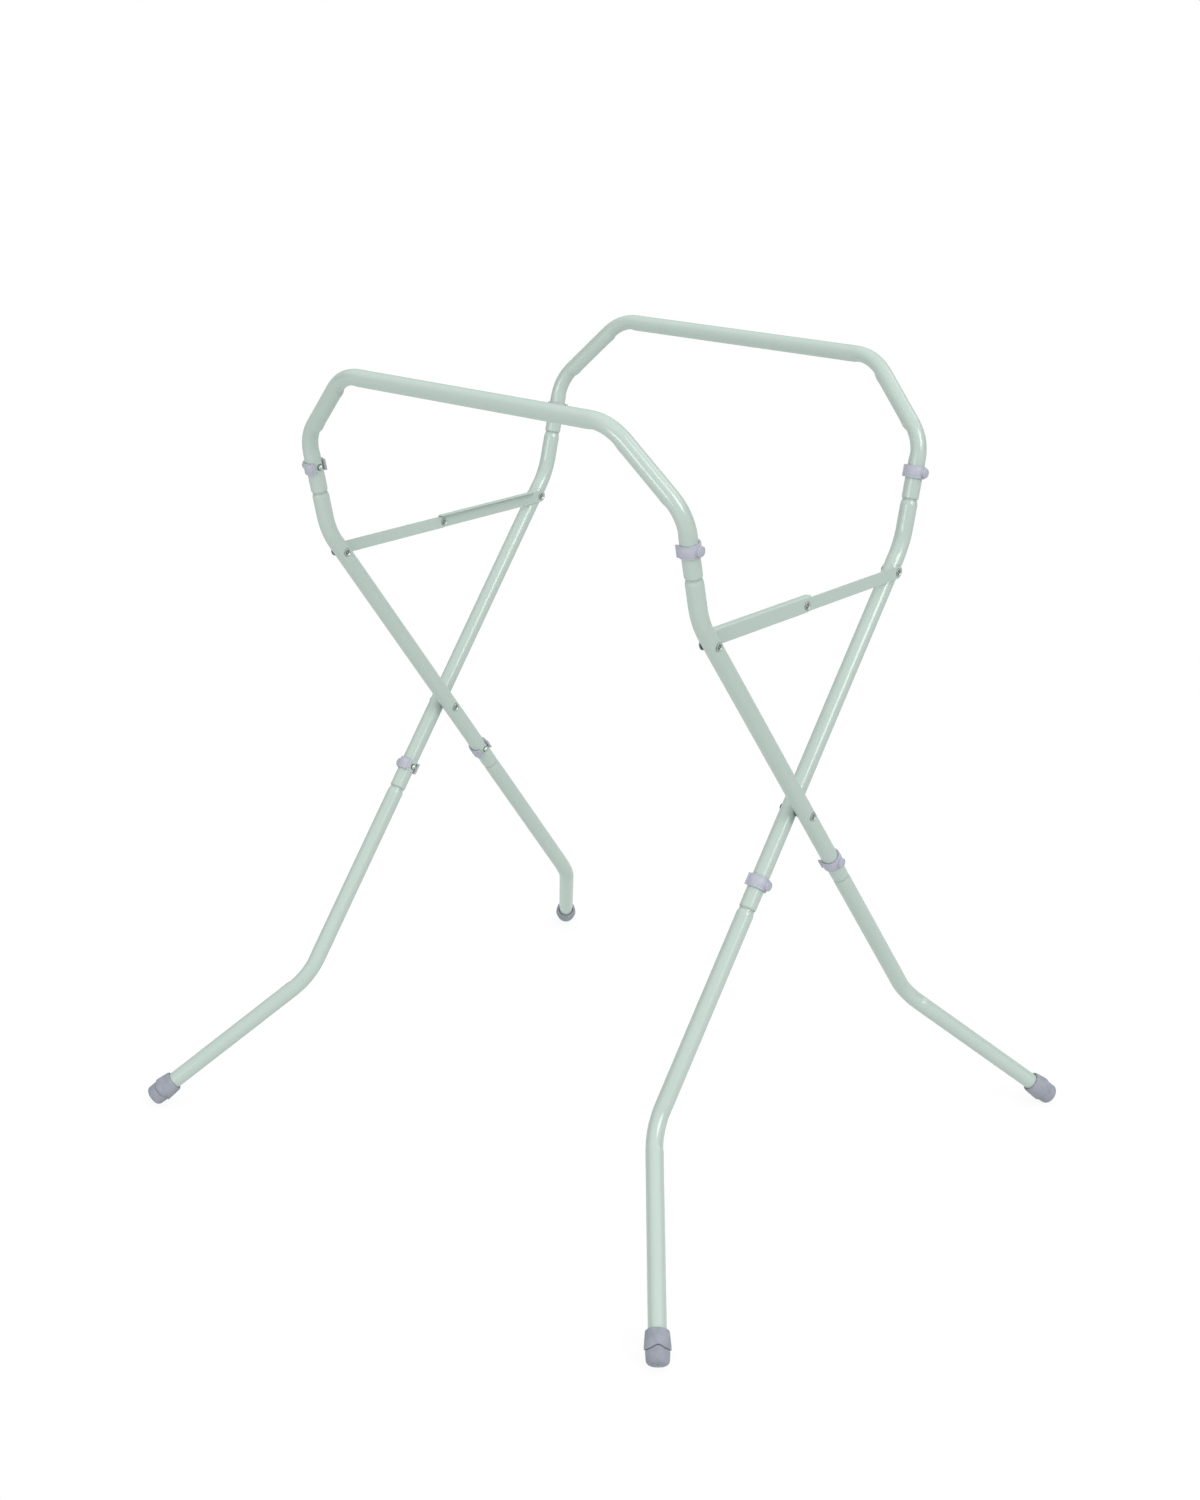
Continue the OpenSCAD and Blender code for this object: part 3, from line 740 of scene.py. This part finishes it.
def footPiece(key, place):
    # turned profile; the step between cap and sleeve rises to three crests, one of them on top of the leg, by
    # crest cos 3a + crestPeak cos 6a, and what would be under the floor is flat
    f = foot
    profile, mouthCount = footProfile()
    height = profile[:, 1]
    sway = smooth((height - f["crestFrom"]) / f["crestRise"])
    sway = sway * smooth((f["length"] - f["crestFrom"] - height) / f["crestFade"])
    sway[-mouthCount:] = 0

    def wobble(h, a):
        crests = f["crest"] * np.cos(f["crestCount"] * a) + f["crestPeak"] * np.cos(2 * f["crestCount"] * a)
        return h + sway[:, None] * crests[None, :]

    grid, quads = turnedGrid(profile, f["around"], wobble)
    side = np.cross((0, 0, 1), legEndDir)
    points = place(standUp(grid.reshape(-1, 3), footTip, -legEndDir, side))
    points[:, 2] = np.maximum(points[:, 2], 0)
    rows = np.repeat(height, f["around"])
    radii = np.repeat(profile[:, 0], f["around"])
    # painted shade, marked below zero: the crevice under the step, the mouth round the tube and the dimple in
    # the tip; dust, marked above zero, lies near the floor
    paintedCreviceShade = bell(rows - f["lowLength"] + 0.1, f["creviceWidth"]) * (radii < f["lowRadius"])
    paintedCreviceShade += (radii < tube["radius"] + 0.75) * (rows > f["length"] - f["mouthDepth"])
    paintedCreviceShade += radii < f["dimple"] + 0.1
    dust = f["dust"] * bell(points[:, 2], f["dustHeight"])
    meshPiece("rubberFoot_" + key, points, quads, rubber, "frame_" + key[0], "foot_" + key, dust - paintedCreviceShade)


for key, place in mirroredPlaces.items():
    footPiece(key, place)
print("feet ready")

clip = {
    "width": 14.5, "thickness": 2.4, "clear": 0.15, "wrap": 128, "edge": 0.85,
    "lipTurn": 74, "lipRadius": 1.9, "lipLength": 1.5, "endRound": 0.8,
    "lineInset": 1.6, "lineDepth": 0.16, "lineWidth": 0.7, "lineFloor": 0.24,
    "buttonRadius": 5.75, "buttonHeight": 3.4, "buttonEdge": 0.9, "buttonRoot": 0.9, "buttonAround": 64,
    "pinRadius": 2.75, "pinTip": 3.4, "ballRadius": 3.15, "pinNeck": 1.9, "pinRoot": 1.2, "pinAround": 48,
    "wear": 0.8, "buttonWear": 0.2, "faceDepth": 0.5,
    "fineSteps": 2400, "bandSteps": (34, 16, 3), "endSteps": 7,  # on the arc, the turn, the lip, and its end
}
bandRadius = tube["radius"] + clip["clear"] + clip["thickness"] / 2
buttonFace = tube["radius"] + clip["clear"] + clip["thickness"] + clip["buttonHeight"]


def bandSection():
    # closed ring of (across the thickness, along the width): a rounded rectangle with a groove near each edge
    # of its outer side, and the same places on the smooth inner side, so that both ends close
    thick, wide, corner = clip["thickness"] / 2, clip["width"] / 2, clip["edge"]
    corners = [
        arc((cx * (thick - corner), cy * (wide - corner)), corner, start, start + 90, 7)
        for cx, cy, start in ((1, 1, 0), (-1, 1, 90), (-1, -1, 180), (1, -1, 270))
    ]
    deep, half, floor = clip["lineDepth"], clip["lineWidth"] / 2, clip["lineFloor"] / 2
    groove = np.array([[0, half], [-deep, floor], [-deep, -floor], [0, -half]])
    upper = groove + (thick, wide - clip["lineInset"])
    lower = groove + (thick, clip["lineInset"] - wide)
    inner = np.concatenate([upper, lower])
    inner[:, 0] = -thick
    return np.concatenate([lower[::-1], upper[::-1], *corners[:2], inner, *corners[2:]])


def runningSum(steps):
    return np.concatenate([[0], np.cumsum(steps)])


def bandGrid():
    # the section carried along an arc about the tube; each end then turns outwards into a lip
    # the middle line is worked out by running sums of its curve and its heading, on half a band
    c = clip
    arcHalf = bandRadius * math.radians(c["wrap"])
    lipStart = arcHalf + c["lipRadius"] * math.radians(c["lipTurn"])
    half = lipStart + c["lipLength"]
    fine = np.linspace(0, half, c["fineSteps"])
    curve = np.where(fine < lipStart, -1 / c["lipRadius"], 0)
    curve = np.where(fine < arcHalf, 1 / bandRadius, curve)
    turn = runningSum((curve[1:] + curve[:-1]) / 2 * np.diff(fine))
    middle = (turn[1:] + turn[:-1]) / 2
    x = runningSum(np.cos(middle) * np.diff(fine))
    y = bandRadius - runningSum(np.sin(middle) * np.diff(fine))

    stops = (0, arcHalf - 1, lipStart, half - c["endRound"])
    s = [np.linspace(*stretch, endpoint=False) for stretch in zip(stops, stops[1:], c["bandSteps"])]
    intoEnd = np.radians(np.linspace(0, 90, c["endSteps"]))
    s = np.concatenate([*s, half - c["endRound"] * (1 - np.sin(intoEnd))])
    s = np.concatenate([-s[:0:-1], s])
    turn = np.interp(abs(s), fine, turn) * np.sign(s)
    x = np.interp(abs(s), fine, x) * np.sign(s)
    y = np.interp(abs(s), fine, y)

    # the section shrinks towards both ends along a quarter circle, and a cap closes each to its middle line
    near = c["endRound"] - np.clip(half - abs(s), 0, c["endRound"])
    rounding = c["endRound"] - np.sqrt(np.clip(c["endRound"] ** 2 - near ** 2, 0, None))
    section = bandSection()
    section = section[None] - rounding[:, None, None] * (section / np.abs(section).max(0))[None]
    band = np.zeros((len(s), section.shape[1], 3))
    band[..., 0] = x[:, None] + np.sin(turn)[:, None] * section[..., 0]
    band[..., 1] = y[:, None] + np.cos(turn)[:, None] * section[..., 0]
    band[..., 2] = section[..., 1]
    caps = [band[:1].copy(), band[-1:].copy()]
    for cap in caps:
        cap[..., :2] = cap[..., :2].mean(axis=(0, 1))
    return np.concatenate([caps[0], band, caps[1]])


def clipShape():
    # the band, and a button turned about the pin's axis, with the wear of each point
    c = clip
    grid = bandGrid()
    r, e, top = c["buttonRadius"], c["buttonEdge"], buttonFace
    base = tube["radius"] + c["clear"] + c["buttonRoot"]
    profile = np.concatenate([
        [[0, base], [r - 0.2, base], [r - 0.1, base + 1.4], [r - 0.35, base + 1.75], [r - 0.15, base + 2.05]],
        arc((r - e, top - e), e, 0, 84, 8),
        [[r - e - 0.25, top], [r - e - 0.4, top - 0.3], [r - e - 0.75, top - 0.32], [r - e - 1.0, top - 0.12],
         [r * 0.4, top - 0.04], [0, top - 0.02]],
    ])
    button, buttonQuads = turnedGrid(profile, c["buttonAround"])
    band = grid.reshape(-1, 3)
    button = alongY(button)
    points = np.concatenate([band, button])
    quads = [gridQuads(grid, closedRows=False), buttonQuads + len(band)]
    quads = np.concatenate([outwards(points, part) for part in quads])
    edges = c["wear"] * bell(abs(band[:, 2]) - c["width"] / 2, 1)
    face = np.where(button[:, 1] > top - c["faceDepth"], c["wear"], c["buttonWear"])
    return points, quads, np.concatenate([edges, face])


def pinShape():
    # pin with a ball for a tip, turned about its axis, up into the button
    r, ball = clip["pinRadius"], clip["ballRadius"]
    tip = -tube["radius"] - clip["pinTip"]
    root = buttonFace - clip["pinRoot"]
    profile = np.concatenate([
        arc((0, tip + ball), ball, -90, 28, 20),
        [[r, tip + ball + clip["pinNeck"]], [r, 4], [r, root - 0.4], [r - 0.4, root], [0, root]],
    ])
    pin, quads = turnedGrid(profile, clip["pinAround"])
    return alongY(pin), quads


catchParts = {"Clip": (plastic, *clipShape()), "Pin": (pinSteel, *pinShape(), None)}
buttonSides = {"a_front": -1, "a_back": 1, "b_back": -1, "b_front": 1}  # along Y, before a frame is turned
catches = {
    "upper": (onLoop(stand["loopEndRise"] + stand["pinSetback"]), loopDir),
    "lower": (onTube(stand["pinSetback"] - stand["middleTubeEnd"]), upDir),
}
for level, (origin, axis) in catches.items():
    for key, place in shiftedPlaces.items():
        way = (buttonSides[key], buttonSides[key], 1)
        body = level + "_catch_" + key
        for part, (look, points, quads, wearDustAndShade) in catchParts.items():
            points = place(standUp(points * way, origin, axis, (0, 1, 0)))
            node = level + "_" + part.lower() + "_" + key
            meshPiece(level + part + "_" + key, points, quads, look, body, node, wearDustAndShade)
print("clips ready")

link = {
    "thickness": 1.2, "width": 15.5, "play": 0.3, "edge": 0.3, "leastStep": 0.04, "endGap": 0.05,
    "flange": 8, "bend": 2.2, "over": 9, "flangeStart": 14, "taper": 5, "stopGap": 0.3, "corner": 5.8,
    # the last pair: the amount of painted shade on the link faces behind the tubes, and how far from the
    # pivot it reaches
    "lead": 2.6, "wear": 0.4, "wearReach": 7, "paintedShade": 2.2, "paintedShadeReach": 9,
    "faceSteps": 26, "edgeSteps": 5, "roundSteps": 16, "barSteps": 30, "markSteps": 14,
}
rivet = {
    "radius": 3, "rollRadius": 4.9, "rollHeight": 1.1, "dish": 3.9, "knob": 0.35,
    "domeRadius": 4.8, "domeRim": 0.12, "domeHeight": 2.6, "tailHeight": 0.8,
    "seat": 0.5, "play": 0.1, "inset": 0.02, "around": 48,
}
spacer = {"bore": 3.06, "radius": 5.4, "edge": 0.3, "height": 3.2, "around": 48}
braceX = stand["braceReach"] * sinDeg(stand["legAngle"])
braceZ = stand["crossHeight"] + stand["braceReach"] * cosDeg(stand["legAngle"])


def platePoints(x, low, high, midline):
    # a pressed sheet: at each x it runs from low to high along the bent middle line, with both edges rounded:
    # for u from 0 to 1 an edge goes out by 1 - (1 - u)^2 of its width, and in height by sqrt(1 - u^2)
    t, e = link["thickness"] / 2, link["edge"]
    low, high = low[:, None], high[:, None]
    room = np.minimum(e, (high - low) / 2)
    face = low + room + (high - low - 2 * room) * np.linspace(0, 1, link["faceSteps"])
    u = np.linspace(0, 1, link["edgeSteps"])
    out = room * (1 - (1 - u) ** 2)
    drop = np.repeat((t - e + e * np.sqrt(1 - u ** 2))[None], len(x), 0)
    flat = np.full_like(face, t)
    s = np.concatenate([
        face, high - room + out, (high - room + out)[:, ::-1],
        face[:, ::-1], low + room - out, (low + room - out)[:, ::-1],
    ], 1)
    n = np.concatenate([flat, drop, -drop[:, ::-1], -flat, -drop, drop[:, ::-1]], 1)
    y, z, ny, nz = midline(s)
    return np.stack([np.repeat(x[:, None], s.shape[1], 1), z + nz * n, y + ny * n], -1)


def flatMidline(s):
    return np.full_like(s, link["thickness"] / 2), s, np.ones_like(s), np.zeros_like(s)


def channelMidline(s):
    # up the web, round a quarter turn, then out along the flange
    mid = link["bend"] - link["thickness"] / 2
    top = link["width"] / 2 + link["stopGap"]
    a = np.clip((s - top) / mid, 0, np.pi / 2)
    out = np.clip(s - top - mid * np.pi / 2, 0, None)
    z = np.minimum(s, top) + mid * np.sin(a)
    y = link["bend"] - mid * np.cos(a) + out
    return y, z, np.cos(a), -np.sin(a)


def spread(x, end):
    # sorted places without near doubles, which would make slivers
    x = np.unique(np.round(x / link["leastStep"])) * link["leastStep"]
    return np.append(x[x < end - link["endGap"]], end)


def roundStations(length):
    # distances from a round end, closer together towards it: 1 - cos a, for a from 0 to 90 degrees
    return length * (1 - np.cos(np.radians(np.linspace(0, 90, link["roundSteps"]))))


def linkStations(start, end, marks):
    # extra stations in the round ends, and between marks, where the outline changes
    r = link["width"] / 2
    bar = np.linspace(start + r, end - r, link["barSteps"])
    parts = [start + roundStations(r), bar, end - roundStations(r)]
    parts += [np.linspace(a, b, link["markSteps"]) for a, b in marks]
    return spread(np.concatenate(parts), end)


def roundEnd(x, end):
    # half width of a bar up to a round end, that of a circle as wide as the bar: sqrt(r^2 - (r - inside)^2)
    r = link["width"] / 2
    inside = np.clip(end - x, 0, r)
    return np.sqrt(np.clip(r * r - (r - inside) ** 2, 0, None))


def flatLinkPoints():
    r = link["width"] / 2
    x = linkStations(-r, braceX + r, [])
    half = np.minimum(roundEnd(-x, r), roundEnd(x, braceX + r))
    return platePoints(x, -half, half, flatMidline)


def channelLinkPoints():
    # the lower edge is that of the flat link, then rises past the middle rivet; the upper edge widens into
    # the flange, which has a round corner at the end
    r, corner = link["width"] / 2, link["corner"]
    end = braceX + link["over"]
    marks = [(link["flangeStart"] - 1, link["flangeStart"] + link["taper"]), (end - 7, end - 0.01)]
    x = spread(np.concatenate([linkStations(-r, end, marks), end - roundStations(corner + 0.2)]), end)
    web = roundEnd(-x, r)
    low = -np.minimum(web, roundEnd(x, braceX + r))
    mid = link["bend"] - link["thickness"] / 2
    full = r + link["stopGap"] + mid * np.pi / 2 + link["flange"] - link["bend"]
    intoCorner = np.clip(x - (end - corner), 0, corner)
    tip = full - corner + np.sqrt(np.clip(corner ** 2 - intoCorner ** 2, 0, None))
    high = web + (tip - web) * smooth((x - link["flangeStart"] + 1) / link["taper"])
    closeFrom = braceX + r - link["lead"]
    closing = smooth((x - closeFrom) / (end - closeFrom))
    low = low * (1 - closing) + (full - corner) * closing
    return platePoints(x, low, np.maximum(high, low), channelMidline)


def inBrace(points, plane, layer, fromA):
    # stands a link up in the side plane of frame A at the front or the back, from its end pivot to the middle
    way = 1 if fromA else -1
    p = points.reshape(-1, 3)
    y = plane + tube["radius"] + link["play"] + layer * (link["thickness"] + link["play"])
    y = y + (0 if fromA else link["thickness"])
    return np.stack([way * (p[:, 0] - braceX), y + way * p[:, 2], braceZ + p[:, 1]], 1)


for kind, grid in (("channel", channelLinkPoints()), ("flat", flatLinkPoints())):
    quads = gridQuads(grid, closedRows=False)
    x = grid[..., 0]
    wearDustAndShade = bell(x, link["wearReach"]) + bell(x - braceX, link["wearReach"])
    wearDustAndShade = link["wear"] * np.clip(wearDustAndShade, 0, 1)
    # painted shade: the face of a link that lies behind a tube, near its end pivot, is marked for the dark
    # paint colour
    shadedBehindTube = (grid[..., 2] < link["thickness"] * 0.6) * (np.hypot(x, grid[..., 1]) < link["paintedShadeReach"])
    wearDustAndShade += link["paintedShade"] * shadedBehindTube
    for where, plane in planes.items():
        fromA = (kind == "channel") == (where == "front")  # the links on frame A lie next to its tubes
        points = inBrace(grid, plane, 0 if fromA else 1, fromA)
        body, node = where + "_" + kind + "_link", "brace_" + kind + "_" + where
        meshPiece(kind + "Link_" + where, points, quads, linkPaint, body, node, wearDustAndShade)
print("links ready")


def rolledEnd():
    # rolled rim round a dish with a low knob in it, from the middle outwards: radius, height above the
    # surface that it sits on, and how much painted shade the place gets, deepest at the foot of the rim and
    # in the dish
    v = rivet
    dish, knob, rim, top = v["dish"], v["knob"], v["rollRadius"], v["rollHeight"]
    return np.array([
        [0, knob, 0.1], [0.8, knob - 0.03, 0.2], [1.35, 0.16, 0.5], [1.9, 0.06, 0.7], [2.5, 0.1, 0.55],
        [dish - 0.9, 0.28, 0.3], [dish - 0.4, top - 0.5, 0.1], [dish, top - 0.1, 0], [dish + 0.25, top, 0],
        [rim - 0.45, top - 0.08, 0.05], [rim - 0.18, top - 0.35, 0.25], [rim - 0.04, 0.4, 0.6],
        [rim, 0.12, 0.9], [rim - 0.15, 0, 0.9],
    ])


def domeEnd(height):
    # ball cap with a short straight rim, from the middle outwards: radius, height and painted shade of each
    # place, full on a high dome and less on the cap of a low one;
    # the ball's radius is (wide^2 + height^2) / (2 height)
    wide, rim = rivet["domeRadius"], rivet["domeRim"]
    ball = (wide ** 2 + height ** 2) / (2 * height)
    a = np.linspace(0, math.asin((wide - rim) / ball), 12)
    paintedShade = np.full_like(a, min(1, height / 2))
    cap = np.stack([ball * np.sin(a), height - ball + ball * np.cos(a), paintedShade], 1)
    return np.concatenate([cap, [[wide, rim, 1], [wide - 0.1, 0, 1]]])


def rivetPiece(kind, node, where, body, x, z, yFrom, yTo, rolled=True, dome="domeHeight"):
    # rolled end to -Y, shank, and domed head to +Y, turned about a line along Y; either end can be flat
    shank = rivet["radius"]
    low = rolledEnd() * (1, -1, 1) if rolled else np.array([[0, 0, 0], [shank, 0, 0]])
    high = domeEnd(rivet[dome])[::-1] if dome else np.array([[shank, 0, 0], [0, 0, 0]])
    middle = [[shank, yFrom + rivet["inset"], 0], [shank, yTo - rivet["inset"], 0]]
    profile = np.concatenate([low + (0, yFrom, 0), middle, high + (0, yTo, 0)])
    grid, quads = turnedGrid(profile[:, :2], rivet["around"])
    points = alongY(grid) + np.array([x, 0, z])
    paintedShade = np.repeat(profile[:, 2], rivet["around"])
    meshPiece(kind + "_" + where, points, quads, rivetSteel, body, node + "_" + where, paintedShade)


def spacerPiece(where, plane):
    # ring with chamfered edges between the two tubes, turned about the crossing rivet
    r, bore, edge = spacer["radius"], spacer["bore"], spacer["edge"]
    low = plane + tube["radius"]
    high = low + spacer["height"]
    rim = [[r - edge, low], [r, low + edge], [r, high - edge], [r - edge, high]]
    profile = np.array([[bore, low], *rim, [bore, high], [bore, low]])
    grid, quads = turnedGrid(profile, spacer["around"])
    points = alongY(grid) + np.array([0, 0, stand["crossHeight"]])
    meshPiece("crossSpacer_" + where, points, quads, shadedNylon, "frame_a", "cross_spacer_" + where)


endKinds = ("endRivet", "brace_end_rivet")
headKinds = ("farRivetHead", "brace_far_rivet_head")
tailKinds = ("farRivetTail", "brace_far_rivet_tail")
for where, plane in planes.items():
    seatA = plane - tube["radius"] + rivet["seat"]
    seatB = plane + stand["planeGap"] + tube["radius"] - rivet["seat"]
    inner = plane + tube["radius"] + link["play"]  # the near sides of the two layers of links
    outer = inner + link["thickness"] + link["play"]
    thick, play = link["thickness"], rivet["play"]
    rivetPiece("crossRivet", "cross_rivet", where, "frame_a", 0, stand["crossHeight"], seatA, seatB + play)
    rivetPiece(
        "middleRivet", "brace_mid_rivet", where, where + "_channel_link", 0, braceZ,
        inner - play, outer + thick + play,
    )
    if where == "front":
        tubeB = plane + stand["planeGap"] - tube["radius"]
        rivetPiece(*endKinds, where, "frame_a", -braceX, braceZ, seatA, inner + thick + play)
        rivetPiece(*headKinds, where, "front_flat_link", braceX, braceZ, outer, outer + thick, dome=None)
        rivetPiece(*tailKinds, where, "frame_b", braceX, braceZ, tubeB, seatB, False, "tailHeight")
    else:
        tubeA = plane + tube["radius"]
        rivetPiece(*endKinds, where, "frame_b", braceX, braceZ, outer - play, seatB, dome="tailHeight")
        rivetPiece(*headKinds, where, "back_flat_link", -braceX, braceZ, inner, inner + thick, rolled=False)
        rivetPiece(*tailKinds, where, "frame_a", -braceX, braceZ, seatA, tubeA, dome=None)
    spacerPiece(where, plane)
print("rivets ready")

cameraView = {
    "position": (-1941.6, -1589.6, 1397.6), "yaw": -48.14, "pitch": 15.36, "roll": 0.32,
    "focal": 2179.8, "axis": (518.5, 566.4), "picture": (1200, 1500), "film": 36,
    "farthest": 100,
}
studio = {
    "floorSize": 40, "paper": 0.9,  # half the floor in metres, and its colour
    "paperRoughness": 0.9, "paperSpecular": 0.1,
    "glowNear": 0.9, "glowFade": (0.8, 2.2),  # how clear it is to the camera, and where it gets all clear
    "floorNear": 0.86, "floorFar": 0.7, "floorFade": (0.7, 2.4),  # brightness of the floor to the stand
    "floorShine": 0.45, "shineFade": (0.7, 0.95),  # and of what it mirrors of the left soft box
    "walls": 0.75, "behind": 0.7, "behindFade": (-0.95, -0.4),  # brightness of the room, 1 is white
    "ceiling": 1.27, "ceilingFade": (0.3, 0.95),
    "flags": 0.1, "flagStart": (-0.72, -0.4), "flagEnd": (-0.1, 0.16), "flagTop": (0.25, 0.6),
    "mirrored": 0.84,  # share of the room and the floor that shows in reflections, the soft boxes apart
    "mirroredTint": srgb(238, 255, 248),  # and its colour there, as the tubes' edges in the photo are green
    "mapSize": 512,  # light is sought in a small map of the room, which keeps the grain down
    # soft boxes: degrees to the right of the camera and up, half width and half height (sines), brightness
    "boxes": {
        "left": (-41, 1, 0.22, 0.2, 4.8),
        "right": (41, 35, 0.2, 0.25, 5.2),
        "back": (105, 45, 0.2, 0.16, 1.2),
    },
    "boxBlur": (0.06, 0.08),  # across and up
    "boxFront": (0.0, 0.2),  # from where they show, so that none has a twin on the other side
}


def wayFrom(turn, rise=0):
    # direction that lies so far to the right of the camera and so far up
    way = math.radians(cameraView["yaw"] - 90 + turn)
    return np.array([math.cos(way) * cosDeg(rise), math.sin(way) * cosDeg(rise), sinDeg(rise)])


def alongWay(parts, way):
    # how much of a direction given by its three parts points this way
    return parts[0] * float(way[0]) + parts[1] * float(way[1]) + parts[2] * float(way[2])


def floorSheet():
    # to the camera mostly clear, with the soft shadow of the stand, so that the white room and what is folded
    # below the floor show through; to the stand a sheet that gets darker far out
    size = studio["floorSize"]
    corners = [(-size, -size, 0), (size, -size, 0), (size, size, 0), (-size, size, 0)]
    mesh = bpy.data.meshes.new("floor")
    mesh.from_pydata(corners, [], [(0, 1, 2, 3)])
    paper = Finish(
        "floorPaper", studio, Base_Color=(studio["paper"],) * 3 + (1,), Roughness=studio["paperRoughness"],
        Specular_IOR_Level=studio["paperSpecular"],
    )
    paper.material.cycles.emission_sampling = "NONE"
    reach = paper.node("VectorMath", {"operation": "LENGTH"}, {0: paper.place}, "Value")
    toLeftBox = alongWay(paper.parts(paper.place), wayFrom(studio["boxes"]["left"][0])) / (reach + 0.01)
    far = reach.step(*studio["floorFade"])
    seen = studio["floorNear"] + (studio["floorFar"] - studio["floorNear"]) * far
    seen = seen + studio["floorShine"] * toLeftBox.step(*studio["shineFade"]) * far
    glossy = paper.ray("Glossy")
    seen = seen * (1.0 - (1.0 - studio["mirrored"]) * glossy)
    tint = paper.colours(glossy, (1, 1, 1), studio["mirroredTint"])
    glow = paper.node("Emission", None, {"Color": tint, "Strength": seen})

    ray = paper.ray("Camera")
    near = studio["glowNear"]
    amount = ray * (near + (1.0 - near) * reach.step(*studio["glowFade"])) + (1.0 - ray)
    plain = paper.node("MixShader", None, {0: ray, 1: glow, 2: paper.node("BsdfTransparent")})
    shader = Wire(paper.tree.nodes["Principled BSDF"].outputs[0])
    mixed = paper.node("MixShader", None, {0: amount, 1: shader, 2: plain})
    paper.fill(paper.tree.nodes["Material Output"].inputs["Surface"], mixed)
    mesh.materials.append(paper.material)
    addObject("floor", mesh)


def paleWorld():
    # white to the camera; to the stand a pale room with a brighter ceiling, three soft boxes and a dark flag
    # on each side
    world = bpy.data.worlds.new("paleRoom")
    bpy.context.scene.world = world
    world.use_nodes = True
    world.cycles.sampling_method = "MANUAL"
    world.cycles.sample_map_resolution = studio["mapSize"]
    sky = NodeTree(world.node_tree)
    parts = sky.parts(sky.node("TexCoord", output="Generated"))
    up = parts[2]
    toCamera = alongWay(parts, wayFrom(0))
    flags = toCamera.step(*studio["flagStart"]) * (1.0 - toCamera.step(*studio["flagEnd"]))
    flags = flags * (1.0 - up.step(*studio["flagTop"]))
    wall = studio["behind"] + (studio["walls"] - studio["behind"]) * toCamera.step(*studio["behindFade"])
    room = wall + (studio["ceiling"] - wall) * up.step(*studio["ceilingFade"])
    room = room + (studio["flags"] - studio["walls"]) * flags
    glossy = sky.ray("Glossy")
    room = room * (1.0 - (1.0 - studio["mirrored"]) * glossy)
    tinted = glossy
    blurWide, blurTall = studio["boxBlur"]
    for turn, rise, halfWide, halfTall, brightness in studio["boxes"].values():
        across = alongWay(parts, wayFrom(turn + 90)).blend("ABSOLUTE", 0.0)
        height = alongWay(parts, wayFrom(turn, rise + 90)).blend("ABSOLUTE", 0.0)
        box = 1.0 - across.step(halfWide - blurWide, halfWide + blurWide)
        box = box * (1.0 - height.step(halfTall - blurTall, halfTall + blurTall))
        box = box * alongWay(parts, wayFrom(turn, rise)).step(*studio["boxFront"])
        room = room + brightness * box
        tinted = tinted * (1.0 - box)
    seen = sky.ray("Camera").blend("MAXIMUM", sky.ray("Transmission"))
    back = sky.tree.nodes["Background"]
    sky.fill(back.inputs["Color"], sky.colours(tinted, (1, 1, 1), studio["mirroredTint"]))
    sky.fill(back.inputs["Strength"], seen + (1.0 - seen) * room)


def lookFrom(position, yaw, pitch, roll, focal, axis, picture, film, farthest):
    # position and film in mm, angles in degrees, and farthest in metres; the focal length, the place of the
    # lens axis and the size of the picture are in pixels
    y, p, r = (math.radians(v) for v in (yaw, pitch, roll))
    forward = Vector((math.sin(-y) * math.cos(p), math.cos(-y) * math.cos(p), -math.sin(p)))
    level = Vector((math.cos(-y), -math.sin(-y), 0))
    upright = level.cross(forward)
    right = level * math.cos(r) + upright * math.sin(r)
    up = upright * math.cos(r) - level * math.sin(r)
    data = bpy.data.cameras.new("photoView")
    data.sensor_fit = "VERTICAL"
    data.sensor_height = film
    data.lens = focal * film / picture[1]
    data.shift_x = (picture[0] / 2 - axis[0]) / picture[1]
    data.shift_y = (axis[1] - picture[1] / 2) / picture[1]
    data.clip_end = farthest
    camera = addObject("photoView", data)
    turn = Matrix((right, up, -forward)).transposed().to_4x4()
    camera.matrix_world = Matrix.Translation(Vector(position) * mm) @ turn
    bpy.context.scene.camera = camera


floorSheet()
paleWorld()
lookFrom(**cameraView)
bpy.context.scene.view_settings.view_transform = "Standard"
print("studio ready")
